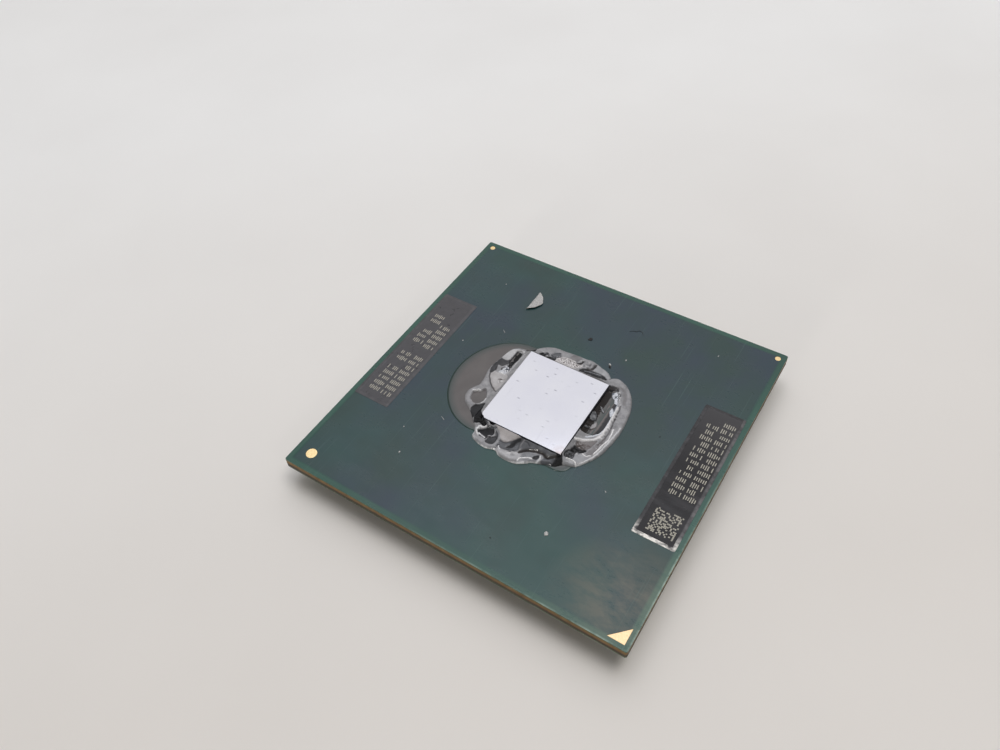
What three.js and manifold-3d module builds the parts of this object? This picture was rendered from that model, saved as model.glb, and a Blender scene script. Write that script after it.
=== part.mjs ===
// A flip-chip processor package on a pin grid, in millimetres, +Z up.
//
// A square laminated substrate stands on its grid of contact pins. A bare silicon die is soldered
// face down in the middle of its top, held by an epoxy underfill and ringed by old thermal compound.
// Chip capacitors sit under the die, in the bay that the pin grid leaves free.
//
// The origin is in the plane of the pin tips, under the middle of the package. +X is the way the
// markings read, and +Y is their upright. Pin A1's corner is the one at -X -Y.

import * as THREE from "three";
import { mergeVertices } from "three/addons/utils/BufferGeometryUtils.js";
import Module from "manifold-3d";

const wasm = await Module();
wasm.setup();

// ---- Driving dimensions ----

// Pin grid
const pinPitch = 1.27;
const pinsPerSide = 26;
const bayPinsPerSide = 14; // empty positions in the middle, each way
const keyPins = [[0, 0], [1, 0]]; // missing pins, as [row, number] counted from 0
const edgeMargin = 1.625; // from the outermost pins' centres to the package's edge
const pinDiameter = 0.305;
const pinLength = 2.03; // below the seating plane
const pinSides = 6;
const solderStripWidth = 0.7; // the solder that holds one line of pins
const solderStripThickness = 0.05;

// Substrate layers
const coreThickness = 0.8;
const buildUpThickness = 0.09;
const maskThickness = 0.06;
const copperThickness = 0.025;
const copperInset = 0.5; // bare border between the copper and the package's edge
const cornerChamfer = 0.12; // cut at the substrate's upright corners
const bondLine = 0.01; // between two layers, and under what is soldered on

// Gold pads in the top mask
const padThickness = 0.045;
const discDiameter = 1.05;
const discInset = 1.75; // from both edges to the centre
const dotDiameter = 0.55;
const dotInset = 0.78;
const triangleLeg = 1.5;
const triangleInset = 0.45; // from both edges to the square corner
const padSteps = 20;
const maskClearance = 0.02; // between a pad and the mask round it
const copperClearance = 0.12; // between a pad and the copper round it

// Die and what holds it
const dieLength = 9.4;
const dieWidth = 8.7;
const dieTopHeight = 0.89; // above the top mask
const dieStandoff = 0.09; // below the die
const bumpDiameter = 0.35;
const bumpPitch = 1.0;
const bumpEdge = 0.5; // least distance from a bump's centre to the die's edge
const bumpSides = 6;
const padLayerThickness = 0.02; // on the die's face, carrying the bumps
const filletReach = 1.3; // the underfill's foot beyond the die
const filletHeight = 0.5; // up the die's sides
const filletLip = 0.1; // the underfill's width at its top
const tongueReach = 5.4; // the flat stretch where the underfill was poured
const tongueOffset = 0.25; // from the die's edge to the tongue's middle
const tongueThickness = 0.06;
const tongueSteps = 48;
const dieClearance = 0.02;

// Thermal compound squeezed out round the die. Each pair is a place along that side of the die, as a
// share of it from the low end, and the distance outwards.
const compoundHeight = 0.78; // against the die
const compoundRim = 0.26; // thickness at the outer edge
const compoundCrest = 0.12; // share of the reach where it is highest
const compoundSteps = 148;
const compoundReach = {
  left: [[0.985, 1.2], [0.95, 1.9], [0.87, 2.25], [0.8, 2.4], [0.66, 2.1], [0.59, 2.5], [0.5, 2.6],
    [0.37, 2.4], [0.28, 1.8], [0.18, 1.4], [0.04, 0.8]],
  bottom: [[-0.03, 0.55], [0, 1.35], [0.14, 2.35], [0.34, 3.05], [0.56, 3.35], [0.78, 3.15], [1, 2.35],
    [1.13, 1.35]],
  right: [[0, 1.65], [0.06, 1.3], [0.12, 1.9], [0.29, 2.25], [0.4, 2.5], [0.58, 2.3], [0.8, 2.2],
    [0.94, 1.7], [1.03, 0.8]],
  top: [[1.03, 1.25], [0.98, 2.15], [0.82, 2.55], [0.64, 2.75], [0.4, 2.5], [0.28, 3.05], [0.15, 2.75],
    [0.07, 1.75], [-0.04, 0.75]],
};

// Marking panels, one along each of two edges
const panelLength = 15.8;
const panelWidth = 4.0;
const panelThickness = 0.045;
const panelInset = 0.5; // from the package's edge
const panelBevel = 0.03;
const panelCorner = 0.12;
const cornerSteps = 6; // in each round corner

// Capacitors under the die
const bayFieldPitches = 11; // the capacitors' field, in pin pitches
const largeCapacitor = { length: 2.0, width: 1.25, height: 0.5, terminal: 0.4 };
const smallCapacitor = { length: 1.0, width: 0.5, height: 0.35, terminal: 0.25 };
const terminalStep = 0.02; // how far a terminal stands proud of the body
const capacitorRows = [
  { size: smallCapacitor, count: 3 },
  { size: largeCapacitor, count: 4 },
  { size: largeCapacitor, count: 4 },
  { size: largeCapacitor, count: 4 },
  { size: smallCapacitor, count: 3 },
];

// ---- Places that follow from them ----

const gridSpan = (pinsPerSide - 1) * pinPitch;
const packageSide = gridSpan + 2 * edgeMargin;
const half = packageSide / 2;
const coreBottom = pinLength + maskThickness + bondLine + buildUpThickness + bondLine;
const coreTop = coreBottom + coreThickness;
const buildUpTopBottom = coreTop + bondLine;
const maskTopBottom = buildUpTopBottom + buildUpThickness + bondLine;
const topFace = maskTopBottom + maskThickness; // the package's top surface
const dieBottom = topFace + dieStandoff;
const dieTop = topFace + dieTopHeight;

// ---- Materials ----

const material = (color, roughness, metalness) =>
  new THREE.MeshStandardMaterial({ color, roughness, metalness });
const finishes = {
  laminate: material("#8a6430", 0.7, 0),
  buildUp: material("#4f6a4c", 0.6, 0),
  solderMask: material("#2f4f49", 0.3, 0),
  copper: material("#b87348", 0.35, 1),
  gold: material("#e8c27a", 0.25, 1),
  silicon: material("#b9bcc6", 0.08, 0.6),
  solder: material("#b8bbc0", 0.35, 1),
  underfill: material("#4a4747", 0.35, 0),
  compound: material("#8c8d90", 0.25, 0.2),
  marking: material("#46464b", 0.4, 0),
  ceramic: material("#8d7a66", 0.6, 0),
};

// ---- Solids ----

function solidOf(geometry) {
  const plain = geometry.clone();
  plain.deleteAttribute("normal");
  plain.deleteAttribute("uv");
  const merged = mergeVertices(plain, 1e-5);
  return new wasm.Manifold(new wasm.Mesh({
    numProp: 3,
    vertProperties: merged.attributes.position.array,
    triVerts: new Uint32Array(merged.index.array),
  }));
}

function geometryOf(solid) {
  const made = solid.getMesh();
  const geometry = new THREE.BufferGeometry();
  geometry.setAttribute("position", new THREE.BufferAttribute(made.vertProperties, made.numProp));
  geometry.setIndex(new THREE.BufferAttribute(made.triVerts, 1));
  geometry.computeVertexNormals();
  return geometry;
}

// A box of that size whose lowest face is at bottom.
function boxSolid(length, width, height, x, y, bottom) {
  return solidOf(new THREE.BoxGeometry(length, width, height).translate(x, y, bottom + height / 2));
}

// An upright prism on that outline.
function prismSolid(shape, bottom, height) {
  const geometry = new THREE.ExtrudeGeometry(shape, { depth: height, bevelEnabled: false });
  return solidOf(geometry.translate(0, 0, bottom));
}

// An upright round post with that many sides.
function postSolid(diameter, height, sides, x, y, bottom) {
  const geometry = new THREE.CylinderGeometry(diameter / 2, diameter / 2, height, sides);
  return solidOf(geometry.rotateX(Math.PI / 2).translate(x, y, bottom + height / 2));
}

function outline(points) {
  return new THREE.Shape(points.map(([x, y]) => new THREE.Vector2(x, y)));
}

// The points of a rectangle with round corners, anticlockwise.
function roundedRectangle(length, width, radius) {
  const points = [];
  for (let corner = 0; corner < 4; corner += 1) {
    const x = (corner % 3 === 0 ? 1 : -1) * (length / 2 - radius);
    const y = (corner < 2 ? 1 : -1) * (width / 2 - radius);
    for (let step = 0; step <= cornerSteps; step += 1) {
      const angle = (corner + step / cornerSteps) * (Math.PI / 2);
      points.push(new THREE.Vector2(x + radius * Math.cos(angle), y + radius * Math.sin(angle)));
    }
  }
  return points;
}

// A solid with straight sides between a lower and an upper outline of as many points.
function loftSolid(low, high, bottom, height) {
  const count = low.length;
  const positions = [
    ...low.flatMap((point) => [point.x, point.y, bottom]),
    ...high.flatMap((point) => [point.x, point.y, bottom + height]),
  ];
  const index = [];
  for (let i = 0; i < count; i += 1) {
    const next = (i + 1) % count;
    index.push(i, next, count + next, i, count + next, count + i);
  }
  for (const [a, b, c] of THREE.ShapeUtils.triangulateShape(low, [])) {
    index.push(c, b, a);
  }
  for (const [a, b, c] of THREE.ShapeUtils.triangulateShape(high, [])) {
    index.push(count + a, count + b, count + c);
  }
  const geometry = new THREE.BufferGeometry();
  geometry.setAttribute("position", new THREE.Float32BufferAttribute(positions, 3));
  geometry.setIndex(index);
  return solidOf(geometry);
}

// ---- Substrate ----

// The package's square outline with its corners cut, set in from the edges.
function packageOutline(inset) {
  const side = half - inset;
  const cut = side - cornerChamfer;
  return outline([
    [-cut, -side], [cut, -side], [side, -cut], [side, cut],
    [cut, side], [-cut, side], [-side, cut], [-side, -cut],
  ]);
}

// The four gold pads, each grown outwards. Names and places follow pin A1's corner.
function padSolids(grow, bottom, height) {
  const disc = half - discInset;
  const dot = half - dotInset;
  const corner = half - triangleInset + grow;
  const leg = triangleLeg + grow * (2 + Math.SQRT2);
  return {
    fiducial_disc: postSolid(discDiameter + 2 * grow, height, padSteps, -disc, disc, bottom),
    fiducial_dot_upper: postSolid(dotDiameter + 2 * grow, height, padSteps, dot, dot, bottom),
    fiducial_dot_lower: postSolid(dotDiameter + 2 * grow, height, padSteps, dot, -dot, bottom),
    pin_one_triangle: prismSolid(
      outline([[-corner, -corner], [leg - corner, -corner], [-corner, leg - corner]]), bottom, height),
  };
}

// The solid with a hole round each pad, cut right through the mask's thickness.
function withoutPads(solid, grow) {
  const cuts = Object.values(padSolids(grow, maskTopBottom - bondLine, maskThickness + 2 * bondLine));
  return cuts.reduce((left, cut) => left.subtract(cut), solid);
}

// A copper plane lies in a pocket on the inner side of its mask, with one bond line left over it.
const copperPocketDepth = copperThickness + bondLine;
const copperOutline = packageOutline(copperInset);
const pocketOutline = packageOutline(copperInset - maskClearance);

function topLayers() {
  const mask = prismSolid(packageOutline(0), maskTopBottom, maskThickness);
  const pocket = prismSolid(pocketOutline, maskTopBottom - bondLine, copperPocketDepth + bondLine);
  return {
    solder_mask_top: withoutPads(mask.subtract(pocket), maskClearance),
    copper_plane_top: withoutPads(prismSolid(copperOutline, maskTopBottom, copperThickness), copperClearance),
  };
}

function bottomLayers() {
  const mask = prismSolid(packageOutline(0), pinLength, maskThickness);
  const maskTop = pinLength + maskThickness;
  const pocket = prismSolid(pocketOutline, maskTop - copperPocketDepth, copperPocketDepth + bondLine);
  return {
    solder_mask_bottom: mask.subtract(pocket),
    copper_plane_bottom: prismSolid(copperOutline, maskTop - copperThickness, copperThickness),
  };
}

// ---- Die, bumps, underfill and compound ----

// How many bumps fit at the pitch within that length.
const bumpsAlong = (length) => Math.floor((length - 2 * bumpEdge) / bumpPitch) + 1;

// The die's pad layer with its solder bumps hanging below it.
function bumpArraySolid() {
  const columns = bumpsAlong(dieLength);
  const rows = bumpsAlong(dieWidth);
  const layerBottom = dieBottom - bondLine - padLayerThickness;
  const bumpBottom = topFace + bondLine;
  const overlap = padLayerThickness / 2;
  let array = boxSolid(dieLength, dieWidth, padLayerThickness, 0, 0, layerBottom);
  for (let column = 0; column < columns; column += 1) {
    for (let row = 0; row < rows; row += 1) {
      const x = (column - (columns - 1) / 2) * bumpPitch;
      const y = (row - (rows - 1) / 2) * bumpPitch;
      const height = layerBottom - bumpBottom + overlap;
      array = array.add(postSolid(bumpDiameter, height, bumpSides, x, y, bumpBottom));
    }
  }
  return array;
}

// Fillet and tongue together, grown on every side that faces the compound.
function underfillBody(grow) {
  const bottom = topFace + bondLine;
  const aroundDie = (reach) => roundedRectangle(dieLength + 2 * reach, dieWidth + 2 * reach, reach);
  const fillet = loftSolid(
    aroundDie(filletReach + grow), aroundDie(filletLip + grow), bottom, filletHeight + grow);
  const tongue = new THREE.Shape();
  const middle = dieWidth / 2 + tongueOffset;
  tongue.absellipse(0, middle, dieLength / 2 + filletReach + grow, tongueReach + grow, 0, Math.PI, false);
  const geometry = new THREE.ExtrudeGeometry(tongue, {
    depth: tongueThickness + grow,
    bevelEnabled: false,
    curveSegments: tongueSteps,
  });
  return fillet.add(solidOf(geometry.translate(0, 0, bottom)));
}

// The space that the die and its bumps take, with room round it.
function dieSpace(room) {
  const height = dieTop - topFace + 2 * room;
  return boxSolid(dieLength + 2 * room, dieWidth + 2 * room, height, 0, 0, topFace - room);
}

// A point beside the die: a share of the way along one of its sides, and a distance out from it.
function besideDie(side, along, out) {
  const x = (along - 0.5) * dieLength;
  const y = (along - 0.5) * dieWidth;
  return {
    left: [-dieLength / 2 - out, y],
    right: [dieLength / 2 + out, y],
    bottom: [x, -dieWidth / 2 - out],
    top: [x, dieWidth / 2 + out],
  }[side];
}

function compoundSolid() {
  const bottom = topFace + bondLine;
  const reach = Object.entries(compoundReach).flatMap(([side, pairs]) =>
    pairs.map(([along, out]) => new THREE.Vector3(...besideDie(side, along, out), 0)));
  // The edge, drawn in towards the die until only this share of the reach is left.
  const edgeAt = (share) => {
    const points = reach.map((point) => {
      const nearest = new THREE.Vector3(
        THREE.MathUtils.clamp(point.x, -dieLength / 2, dieLength / 2),
        THREE.MathUtils.clamp(point.y, -dieWidth / 2, dieWidth / 2), 0);
      return nearest.lerp(point, share);
    });
    const curve = new THREE.CatmullRomCurve3(points, true, "centripetal").getPoints(compoundSteps);
    return curve.slice(0, -1).map((point) => new THREE.Vector2(point.x, point.y));
  };
  const edge = edgeAt(1);
  return prismSolid(outline(edge.map((point) => [point.x, point.y])), bottom, compoundRim)
    .add(loftSolid(edge, edgeAt(compoundCrest), bottom + compoundRim, compoundHeight - compoundRim))
    .subtract(underfillBody(dieClearance))
    .subtract(dieSpace(2 * dieClearance));
}

// ---- Marking panels ----

function panelSolid(side) {
  const middle = side * (half - panelInset - panelWidth / 2);
  const bevel = 2 * panelBevel;
  const foot = roundedRectangle(panelLength, panelWidth, panelCorner);
  const face = roundedRectangle(panelLength - bevel, panelWidth - bevel, panelCorner - panelBevel);
  return loftSolid(foot, face, topFace + bondLine, panelThickness).translate([0, middle, 0]);
}

// ---- Pins ----

const gridPlace = (index) => index * pinPitch - gridSpan / 2;
const rowLetters = "ABCDEFGHJKLMNPRTUVWY";
const rowName = (row) =>
  row < rowLetters.length ? rowLetters[row] : "A" + rowLetters[row - rowLetters.length];
const isKey = (row, number) => keyPins.some(([r, n]) => r === row && n === number);

// A line of pins on its solder strip, given as grid positions [row, number].
function pinLineSolid(positions) {
  const places = positions.filter(([row, number]) => !isKey(row, number))
    .map(([row, number]) => [gridPlace(row), gridPlace(number)]);
  const xs = places.map(([x]) => x);
  const ys = places.map(([, y]) => y);
  const spanX = Math.max(...xs) - Math.min(...xs);
  const spanY = Math.max(...ys) - Math.min(...ys);
  const stripBottom = pinLength - bondLine - solderStripThickness;
  const strip = boxSolid(spanX + solderStripWidth, spanY + solderStripWidth, solderStripThickness,
    Math.min(...xs) + spanX / 2, Math.min(...ys) + spanY / 2, stripBottom);
  const pinTop = stripBottom + solderStripThickness / 2;
  return places.reduce(
    (line, [x, y]) => line.add(postSolid(pinDiameter, pinTop, pinSides, x, y, 0)), strip);
}

// Lettered rows run the full depth outside the bay; numbered columns fill in beside it.
function pinLines() {
  const ring = (pinsPerSide - bayPinsPerSide) / 2;
  const all = [...Array(pinsPerSide).keys()];
  const outside = all.filter((index) => index < ring || index >= pinsPerSide - ring);
  const beside = all.slice(ring, pinsPerSide - ring);
  const lines = {};
  for (const row of outside) {
    lines[`pin_row_${rowName(row)}`] = pinLineSolid(all.map((number) => [row, number]));
  }
  for (const number of outside) {
    lines[`pin_column_${number + 1}`] = pinLineSolid(beside.map((row) => [row, number]));
  }
  return lines;
}

// ---- Capacitors ----

function capacitorSolid(size, x, y) {
  const bottom = pinLength - bondLine - size.height;
  const step = terminalStep;
  const body = boxSolid(size.length - 2 * step, size.width - 2 * step, size.height - 2 * step,
    x, y, bottom + step);
  const offset = (size.length - size.terminal) / 2;
  return [-1, 1].reduce((whole, end) => whole.add(
    boxSolid(size.terminal, size.width, size.height, x + end * offset, y, bottom)), body);
}

function capacitors() {
  const field = bayFieldPitches * pinPitch;
  const made = {};
  let serial = 0;
  capacitorRows.forEach(({ size, count }, row) => {
    const y = ((row + 0.5) / capacitorRows.length - 0.5) * field;
    for (let column = 0; column < count; column += 1) {
      const x = ((column + 0.5) / count - 0.5) * field;
      serial += 1;
      made[`capacitor_${String(serial).padStart(2, "0")}`] = capacitorSolid(size, x, y);
    }
  });
  return made;
}

// ---- Assembly ----

const processor = new THREE.Group();

function place(finish, solids) {
  for (const [name, solid] of Object.entries(solids)) {
    const mesh = new THREE.Mesh(geometryOf(solid), finishes[finish]);
    mesh.name = name;
    processor.add(mesh);
  }
}

const top = topLayers();
const bottom = bottomLayers();
place("laminate", { core_laminate: prismSolid(packageOutline(0), coreBottom, coreThickness) });
place("buildUp", {
  build_up_top: prismSolid(packageOutline(0), buildUpTopBottom, buildUpThickness),
  build_up_bottom: prismSolid(packageOutline(0), pinLength + maskThickness + bondLine, buildUpThickness),
});
place("copper", {
  copper_plane_top: top.copper_plane_top,
  copper_plane_bottom: bottom.copper_plane_bottom,
});
place("solderMask", {
  solder_mask_top: top.solder_mask_top,
  solder_mask_bottom: bottom.solder_mask_bottom,
});
place("gold", padSolids(0, maskTopBottom, padThickness));
place("silicon", {
  silicon_die: boxSolid(dieLength, dieWidth, dieTop - dieBottom, 0, 0, dieBottom),
});
place("solder", { solder_bump_array: bumpArraySolid() });
place("underfill", { underfill: underfillBody(0).subtract(dieSpace(dieClearance)) });
place("compound", { thermal_compound_ring: compoundSolid() });
place("marking", { marking_panel_upper: panelSolid(1), marking_panel_lower: panelSolid(-1) });
place("gold", pinLines());
place("ceramic", capacitors());

export default processor;
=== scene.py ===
# Looks for a bare-die processor package on its pin grid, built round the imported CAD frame.
import math

import bmesh
import bpy
import numpy as np
from mathutils import Matrix, Vector, noise


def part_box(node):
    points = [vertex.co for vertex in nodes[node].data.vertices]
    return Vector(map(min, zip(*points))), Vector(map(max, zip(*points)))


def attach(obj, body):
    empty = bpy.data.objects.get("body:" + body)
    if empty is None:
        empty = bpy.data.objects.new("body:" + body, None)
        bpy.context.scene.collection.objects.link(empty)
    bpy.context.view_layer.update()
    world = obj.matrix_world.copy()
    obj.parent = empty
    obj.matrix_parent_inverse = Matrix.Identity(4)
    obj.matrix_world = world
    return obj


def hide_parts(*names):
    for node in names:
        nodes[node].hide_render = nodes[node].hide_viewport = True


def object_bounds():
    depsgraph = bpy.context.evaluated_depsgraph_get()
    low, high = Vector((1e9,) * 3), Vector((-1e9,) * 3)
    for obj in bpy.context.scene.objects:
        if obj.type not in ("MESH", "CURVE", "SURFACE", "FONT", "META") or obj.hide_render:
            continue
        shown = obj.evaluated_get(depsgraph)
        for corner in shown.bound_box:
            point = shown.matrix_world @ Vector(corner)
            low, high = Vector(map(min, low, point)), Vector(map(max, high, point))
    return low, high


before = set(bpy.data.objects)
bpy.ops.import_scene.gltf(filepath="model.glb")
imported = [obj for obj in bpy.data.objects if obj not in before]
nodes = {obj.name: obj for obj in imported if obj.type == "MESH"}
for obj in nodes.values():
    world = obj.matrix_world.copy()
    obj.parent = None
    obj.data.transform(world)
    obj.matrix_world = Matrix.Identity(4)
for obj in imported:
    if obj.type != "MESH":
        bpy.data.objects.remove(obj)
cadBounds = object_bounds()
mm = 0.001

dieLow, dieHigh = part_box("silicon_die")
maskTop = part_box("solder_mask_top")[1].z
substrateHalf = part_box("solder_mask_top")[1].x


def linear(hexColor):  # sRGB hex to linear RGBA
    def channel(start):
        value = int(hexColor[start:start + 2], 16) / 255
        return value / 12.92 if value <= 0.04045 else ((value + 0.055) / 1.055) ** 2.4
    return (channel(1), channel(3), channel(5), 1.0)


def addNode(tree, kind, settings):  # kind may be a node that is there; nodes and sockets are linked
    node = kind if isinstance(kind, bpy.types.Node) else tree.nodes.new(kind)
    for key, value in settings.items():
        if isinstance(value, bpy.types.Node):
            value = next(output for output in value.outputs if output.enabled)
        if isinstance(value, bpy.types.NodeSocket):
            tree.links.new(value, node.inputs[key])
        elif isinstance(key, str) and hasattr(node, key):
            setattr(node, key, value)
        else:
            node.inputs[key].default_value = value
    return node


def newMaterial(name, settings):  # a Principled material, its tree, its shader and its object coordinates
    material = bpy.data.materials.new(name)
    material.use_nodes = True
    tree = material.node_tree
    shader = tree.nodes["Principled BSDF"]
    for key, value in settings.items():
        shader.inputs[key].default_value = value
    place = addNode(tree, "ShaderNodeTexCoord", {}).outputs["Object"]
    return material, tree, shader, place


def addPiece(name, made, materials):  # an object from a finished mesh or a bmesh
    mesh = made
    if isinstance(made, bmesh.types.BMesh):
        mesh = bpy.data.meshes.new(name)
        made.to_mesh(mesh)
        made.free()
    for material in materials:
        mesh.materials.append(material)
    piece = bpy.data.objects.new(name, mesh)
    bpy.context.scene.collection.objects.link(piece)
    return piece


def addMesh(name, vertices, faces, materials, smooth=True):
    mesh = bpy.data.meshes.new(name)
    mesh.from_pydata([tuple(v) for v in vertices], [], [tuple(int(i) for i in f) for f in faces])
    mesh.update()
    mesh.polygons.foreach_set("use_smooth", [smooth] * len(mesh.polygons))
    return addPiece(name, mesh, materials)


def mergeDoubles(mesh, distance):  # closes the seams and turns every face outwards
    made = bmesh.new()
    made.from_mesh(mesh)
    bmesh.ops.remove_doubles(made, verts=made.verts, dist=distance)
    bmesh.ops.recalc_face_normals(made, faces=made.faces)
    made.to_mesh(mesh)
    made.free()


def dress(name, material):  # gives a CAD node's object its finish
    nodes[name].data.materials.clear()
    nodes[name].data.materials.append(material)


def settle(piece, slot, *replaced):  # ties a finished piece to the frame
    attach(piece, "root")
    if replaced:
        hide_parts(*replaced)
    return piece


def makeGrained(name, settings, grainSize, detail, low, high, edge=0.3, bump=None, stretch=None):
    # A finish with one fine grain, its size and bump height in mm, running between two tones.
    material, tree, shader, place = newMaterial(name, settings)
    if stretch:
        place = addNode(tree, "ShaderNodeMapping", {0: place, "Scale": stretch})
    grain = addNode(tree, "ShaderNodeTexNoise",
                    {"Vector": place, "Scale": 1 / (grainSize * mm), "Detail": detail})
    share = addNode(tree, "ShaderNodeMapRange", {0: grain, 1: edge, 2: 1 - edge})
    addNode(tree, shader, {"Base Color": addNode(tree, "ShaderNodeMix", {
        "data_type": "RGBA", 0: share, 6: linear(low), 7: linear(high)})})
    if bump:
        addNode(tree, shader, {"Normal": addNode(tree, "ShaderNodeBump", {
            "Height": grain, "Distance": bump[0] * mm, "Strength": bump[1]})})
    return material


def smoothPath(points, perSpan, closed=False):  # a Catmull-Rom curve through the points
    p = np.array(points, float)
    count = len(p)
    t = np.arange(perSpan)[:, None] / perSpan
    parts = []
    for i in range(count if closed else count - 1):
        if closed:
            a, b, c, d = (p[(i + k) % count] for k in (-1, 0, 1, 2))
        else:
            a, b, c, d = (p[min(max(i + k, 0), count - 1)] for k in (-1, 0, 1, 2))
        parts.append(0.5 * (2 * b + (c - a) * t + (2 * a - 5 * b + 4 * c - d) * t ** 2
                            + (3 * b - a - 3 * c + d) * t ** 3))
    if not closed:
        parts.append(p[-1:])
    return np.vstack(parts)


def pathDistance(x, y, path):  # from each point to a polyline
    best = np.full(x.shape, 1e9)
    for (ax, ay), (bx, by) in zip(path[:-1], path[1:]):
        dx, dy = bx - ax, by - ay
        along = np.clip(((x - ax) * dx + (y - ay) * dy) / max(dx * dx + dy * dy, 1e-12), 0, 1)
        best = np.minimum(best, np.hypot(x - ax - along * dx, y - ay - along * dy))
    return best


def smoothStep(low, high, value):
    t = np.clip((value - low) / (high - low), 0, 1)
    return t * t * (3 - 2 * t)


def noiseField(x, y, size, seed):  # smooth values from about -1 to 1
    flat = [noise.noise(Vector((a / size, b / size, seed))) for a, b in zip(x.ravel(), y.ravel())]
    return np.array(flat).reshape(x.shape)


camera = {
    "azimuth": -54.62, "elevation": 49.39, "roll": -3.83,  # degrees
    "distance": 81.23 * mm, "lens": 29.63,
    "target": (1.08 * mm, 5.80 * mm, maskTop),
}
lights = {  # azimuth and elevation as seen from the package, in degrees; sizes in metres
    "skyPanel": {"azimuth": 30, "elevation": 56, "distance": 0.9, "size": 0.85, "watts": 2.1,
                 "color": "#fcfbff"},
    "keyPanel": {"azimuth": -60, "elevation": 72, "distance": 0.9, "size": 0.36, "watts": 2.1,
                 "color": "#fffcfa"},
    "topPanel": {"azimuth": 30, "elevation": 74, "distance": 0.9, "size": 0.6, "watts": 1.4,
                 "color": "#eef3ff"},
    "rimLamp": {"azimuth": 178, "elevation": 7, "distance": 0.8, "size": 0.04, "tall": 0.3, "watts": 1.8,
                "color": "#fffaf4"},
    "frontLamp": {"azimuth": 243, "elevation": 34, "distance": 0.8, "size": 0.05, "watts": 0.2,
                  "color": "#fffaf4"},
}
world = {"color": "#f6f3f0", "bright": 0.44, "dim": 0.1, "azimuth": 20}  # bright on one side
# The floor's near and far colours are painted light: the floor is paler further from the near corner.
floor = {"side": 4.0, "near": "#e8e4de", "far": "#f6f6f4"}


def makeCamera():
    a, e, roll = (math.radians(camera[key]) for key in ("azimuth", "elevation", "roll"))
    back = Vector((math.sin(a) * math.cos(e), -math.cos(a) * math.cos(e), math.sin(e)))
    right = (-back).cross(Vector((0, 0, 1))).normalized()
    up = right.cross(-back)
    turnedRight = right * math.cos(roll) + up * math.sin(roll)
    turnedUp = up * math.cos(roll) - right * math.sin(roll)
    data = bpy.data.cameras.new("camera")
    data.lens = camera["lens"]
    data.sensor_width = 36
    data.clip_start, data.clip_end = 0.002, 20
    eye = bpy.data.objects.new("camera", data)
    turn = Matrix((turnedRight, turnedUp, back)).transposed().to_4x4()
    eye.matrix_world = Matrix.Translation(Vector(camera["target"]) + back * camera["distance"]) @ turn
    bpy.context.scene.collection.objects.link(eye)
    bpy.context.scene.camera = eye


def makeLights():
    for name, light in lights.items():
        data = bpy.data.lights.new(name, "AREA")
        data.shape = "RECTANGLE"
        data.size, data.size_y = light["size"], light.get("tall", light["size"])
        data.energy = light["watts"]
        data.color = linear(light["color"])[:3]
        a, e = math.radians(light["azimuth"]), math.radians(light["elevation"])
        direction = Vector((math.cos(a) * math.cos(e), math.sin(a) * math.cos(e), math.sin(e)))
        lamp = bpy.data.objects.new(name, data)
        lamp.location = direction * light["distance"]
        lamp.rotation_euler = direction.to_track_quat("Z", "Y").to_euler()
        bpy.context.scene.collection.objects.link(lamp)
    sky = bpy.data.worlds.new("softSky")
    sky.use_nodes = True
    tree = sky.node_tree
    background = tree.nodes["Background"]
    background.inputs[0].default_value = linear(world["color"])
    direction = addNode(tree, "ShaderNodeTexCoord", {}).outputs["Generated"]
    a = math.radians(world["azimuth"])
    toward = addNode(tree, "ShaderNodeVectorMath", {"operation": "DOT_PRODUCT",
            1: (math.cos(a), math.sin(a), 0.3), 0: direction}).outputs["Value"]
    addNode(tree, background, {1: addNode(tree, "ShaderNodeMapRange",
            {0: toward, 1: -0.5, 2: 0.8, 3: world["dim"], 4: world["bright"]})})
    bpy.context.scene.world = sky
    bpy.context.scene.view_settings.view_transform = "Standard"


def makeFloor():
    half = floor["side"] / 2
    below = cadBounds[0].z - 0.01 * mm
    corners = [(-half, -half, below), (half, -half, below), (half, half, below), (-half, half, below)]
    material, tree, shader, place = newMaterial("tableLaminate", {"Roughness": 0.6, "IOR": 1.35})
    split = addNode(tree, "ShaderNodeSeparateXYZ", {0: place})
    # Painted light: the floor's colour runs from the near tone to the paler far tone towards +X and +Y.
    paintedLightFar = addNode(tree, "ShaderNodeMapRange", {0: addNode(tree, "ShaderNodeMath",
            {"operation": "ADD", 0: split.outputs[0], 1: split.outputs[1]}), 1: -0.03, 2: 0.09})
    cloudy = addNode(tree, "ShaderNodeTexNoise", {"Vector": place, "Scale": 1 / 0.03, "Detail": 3})
    tone = addNode(tree, "ShaderNodeMix", {"data_type": "RGBA", 0: paintedLightFar, 6: linear(floor["near"]),
            7: linear(floor["far"])})
    tone = addNode(tree, "ShaderNodeMix", {"data_type": "RGBA",
            0: addNode(tree, "ShaderNodeMapRange", {0: cloudy, 1: 0.3, 2: 0.7, 3: 0, 4: 0.08}), 6: tone,
            7: linear("#b8b2ab")})
    addNode(tree, shader, {"Base Color": tone})
    addMesh("floor", corners, [(0, 1, 2, 3)], [material], smooth=False)


makeCamera()
makeLights()
makeFloor()
print("camera, lights and floor made")


substrate = {
    "border": 0.52 * mm,  # where the copper stops short of the edge
    "copperStep": 0.012 * mm,
    "weave": 0.42 * mm,  # one glass bundle
}


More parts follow.
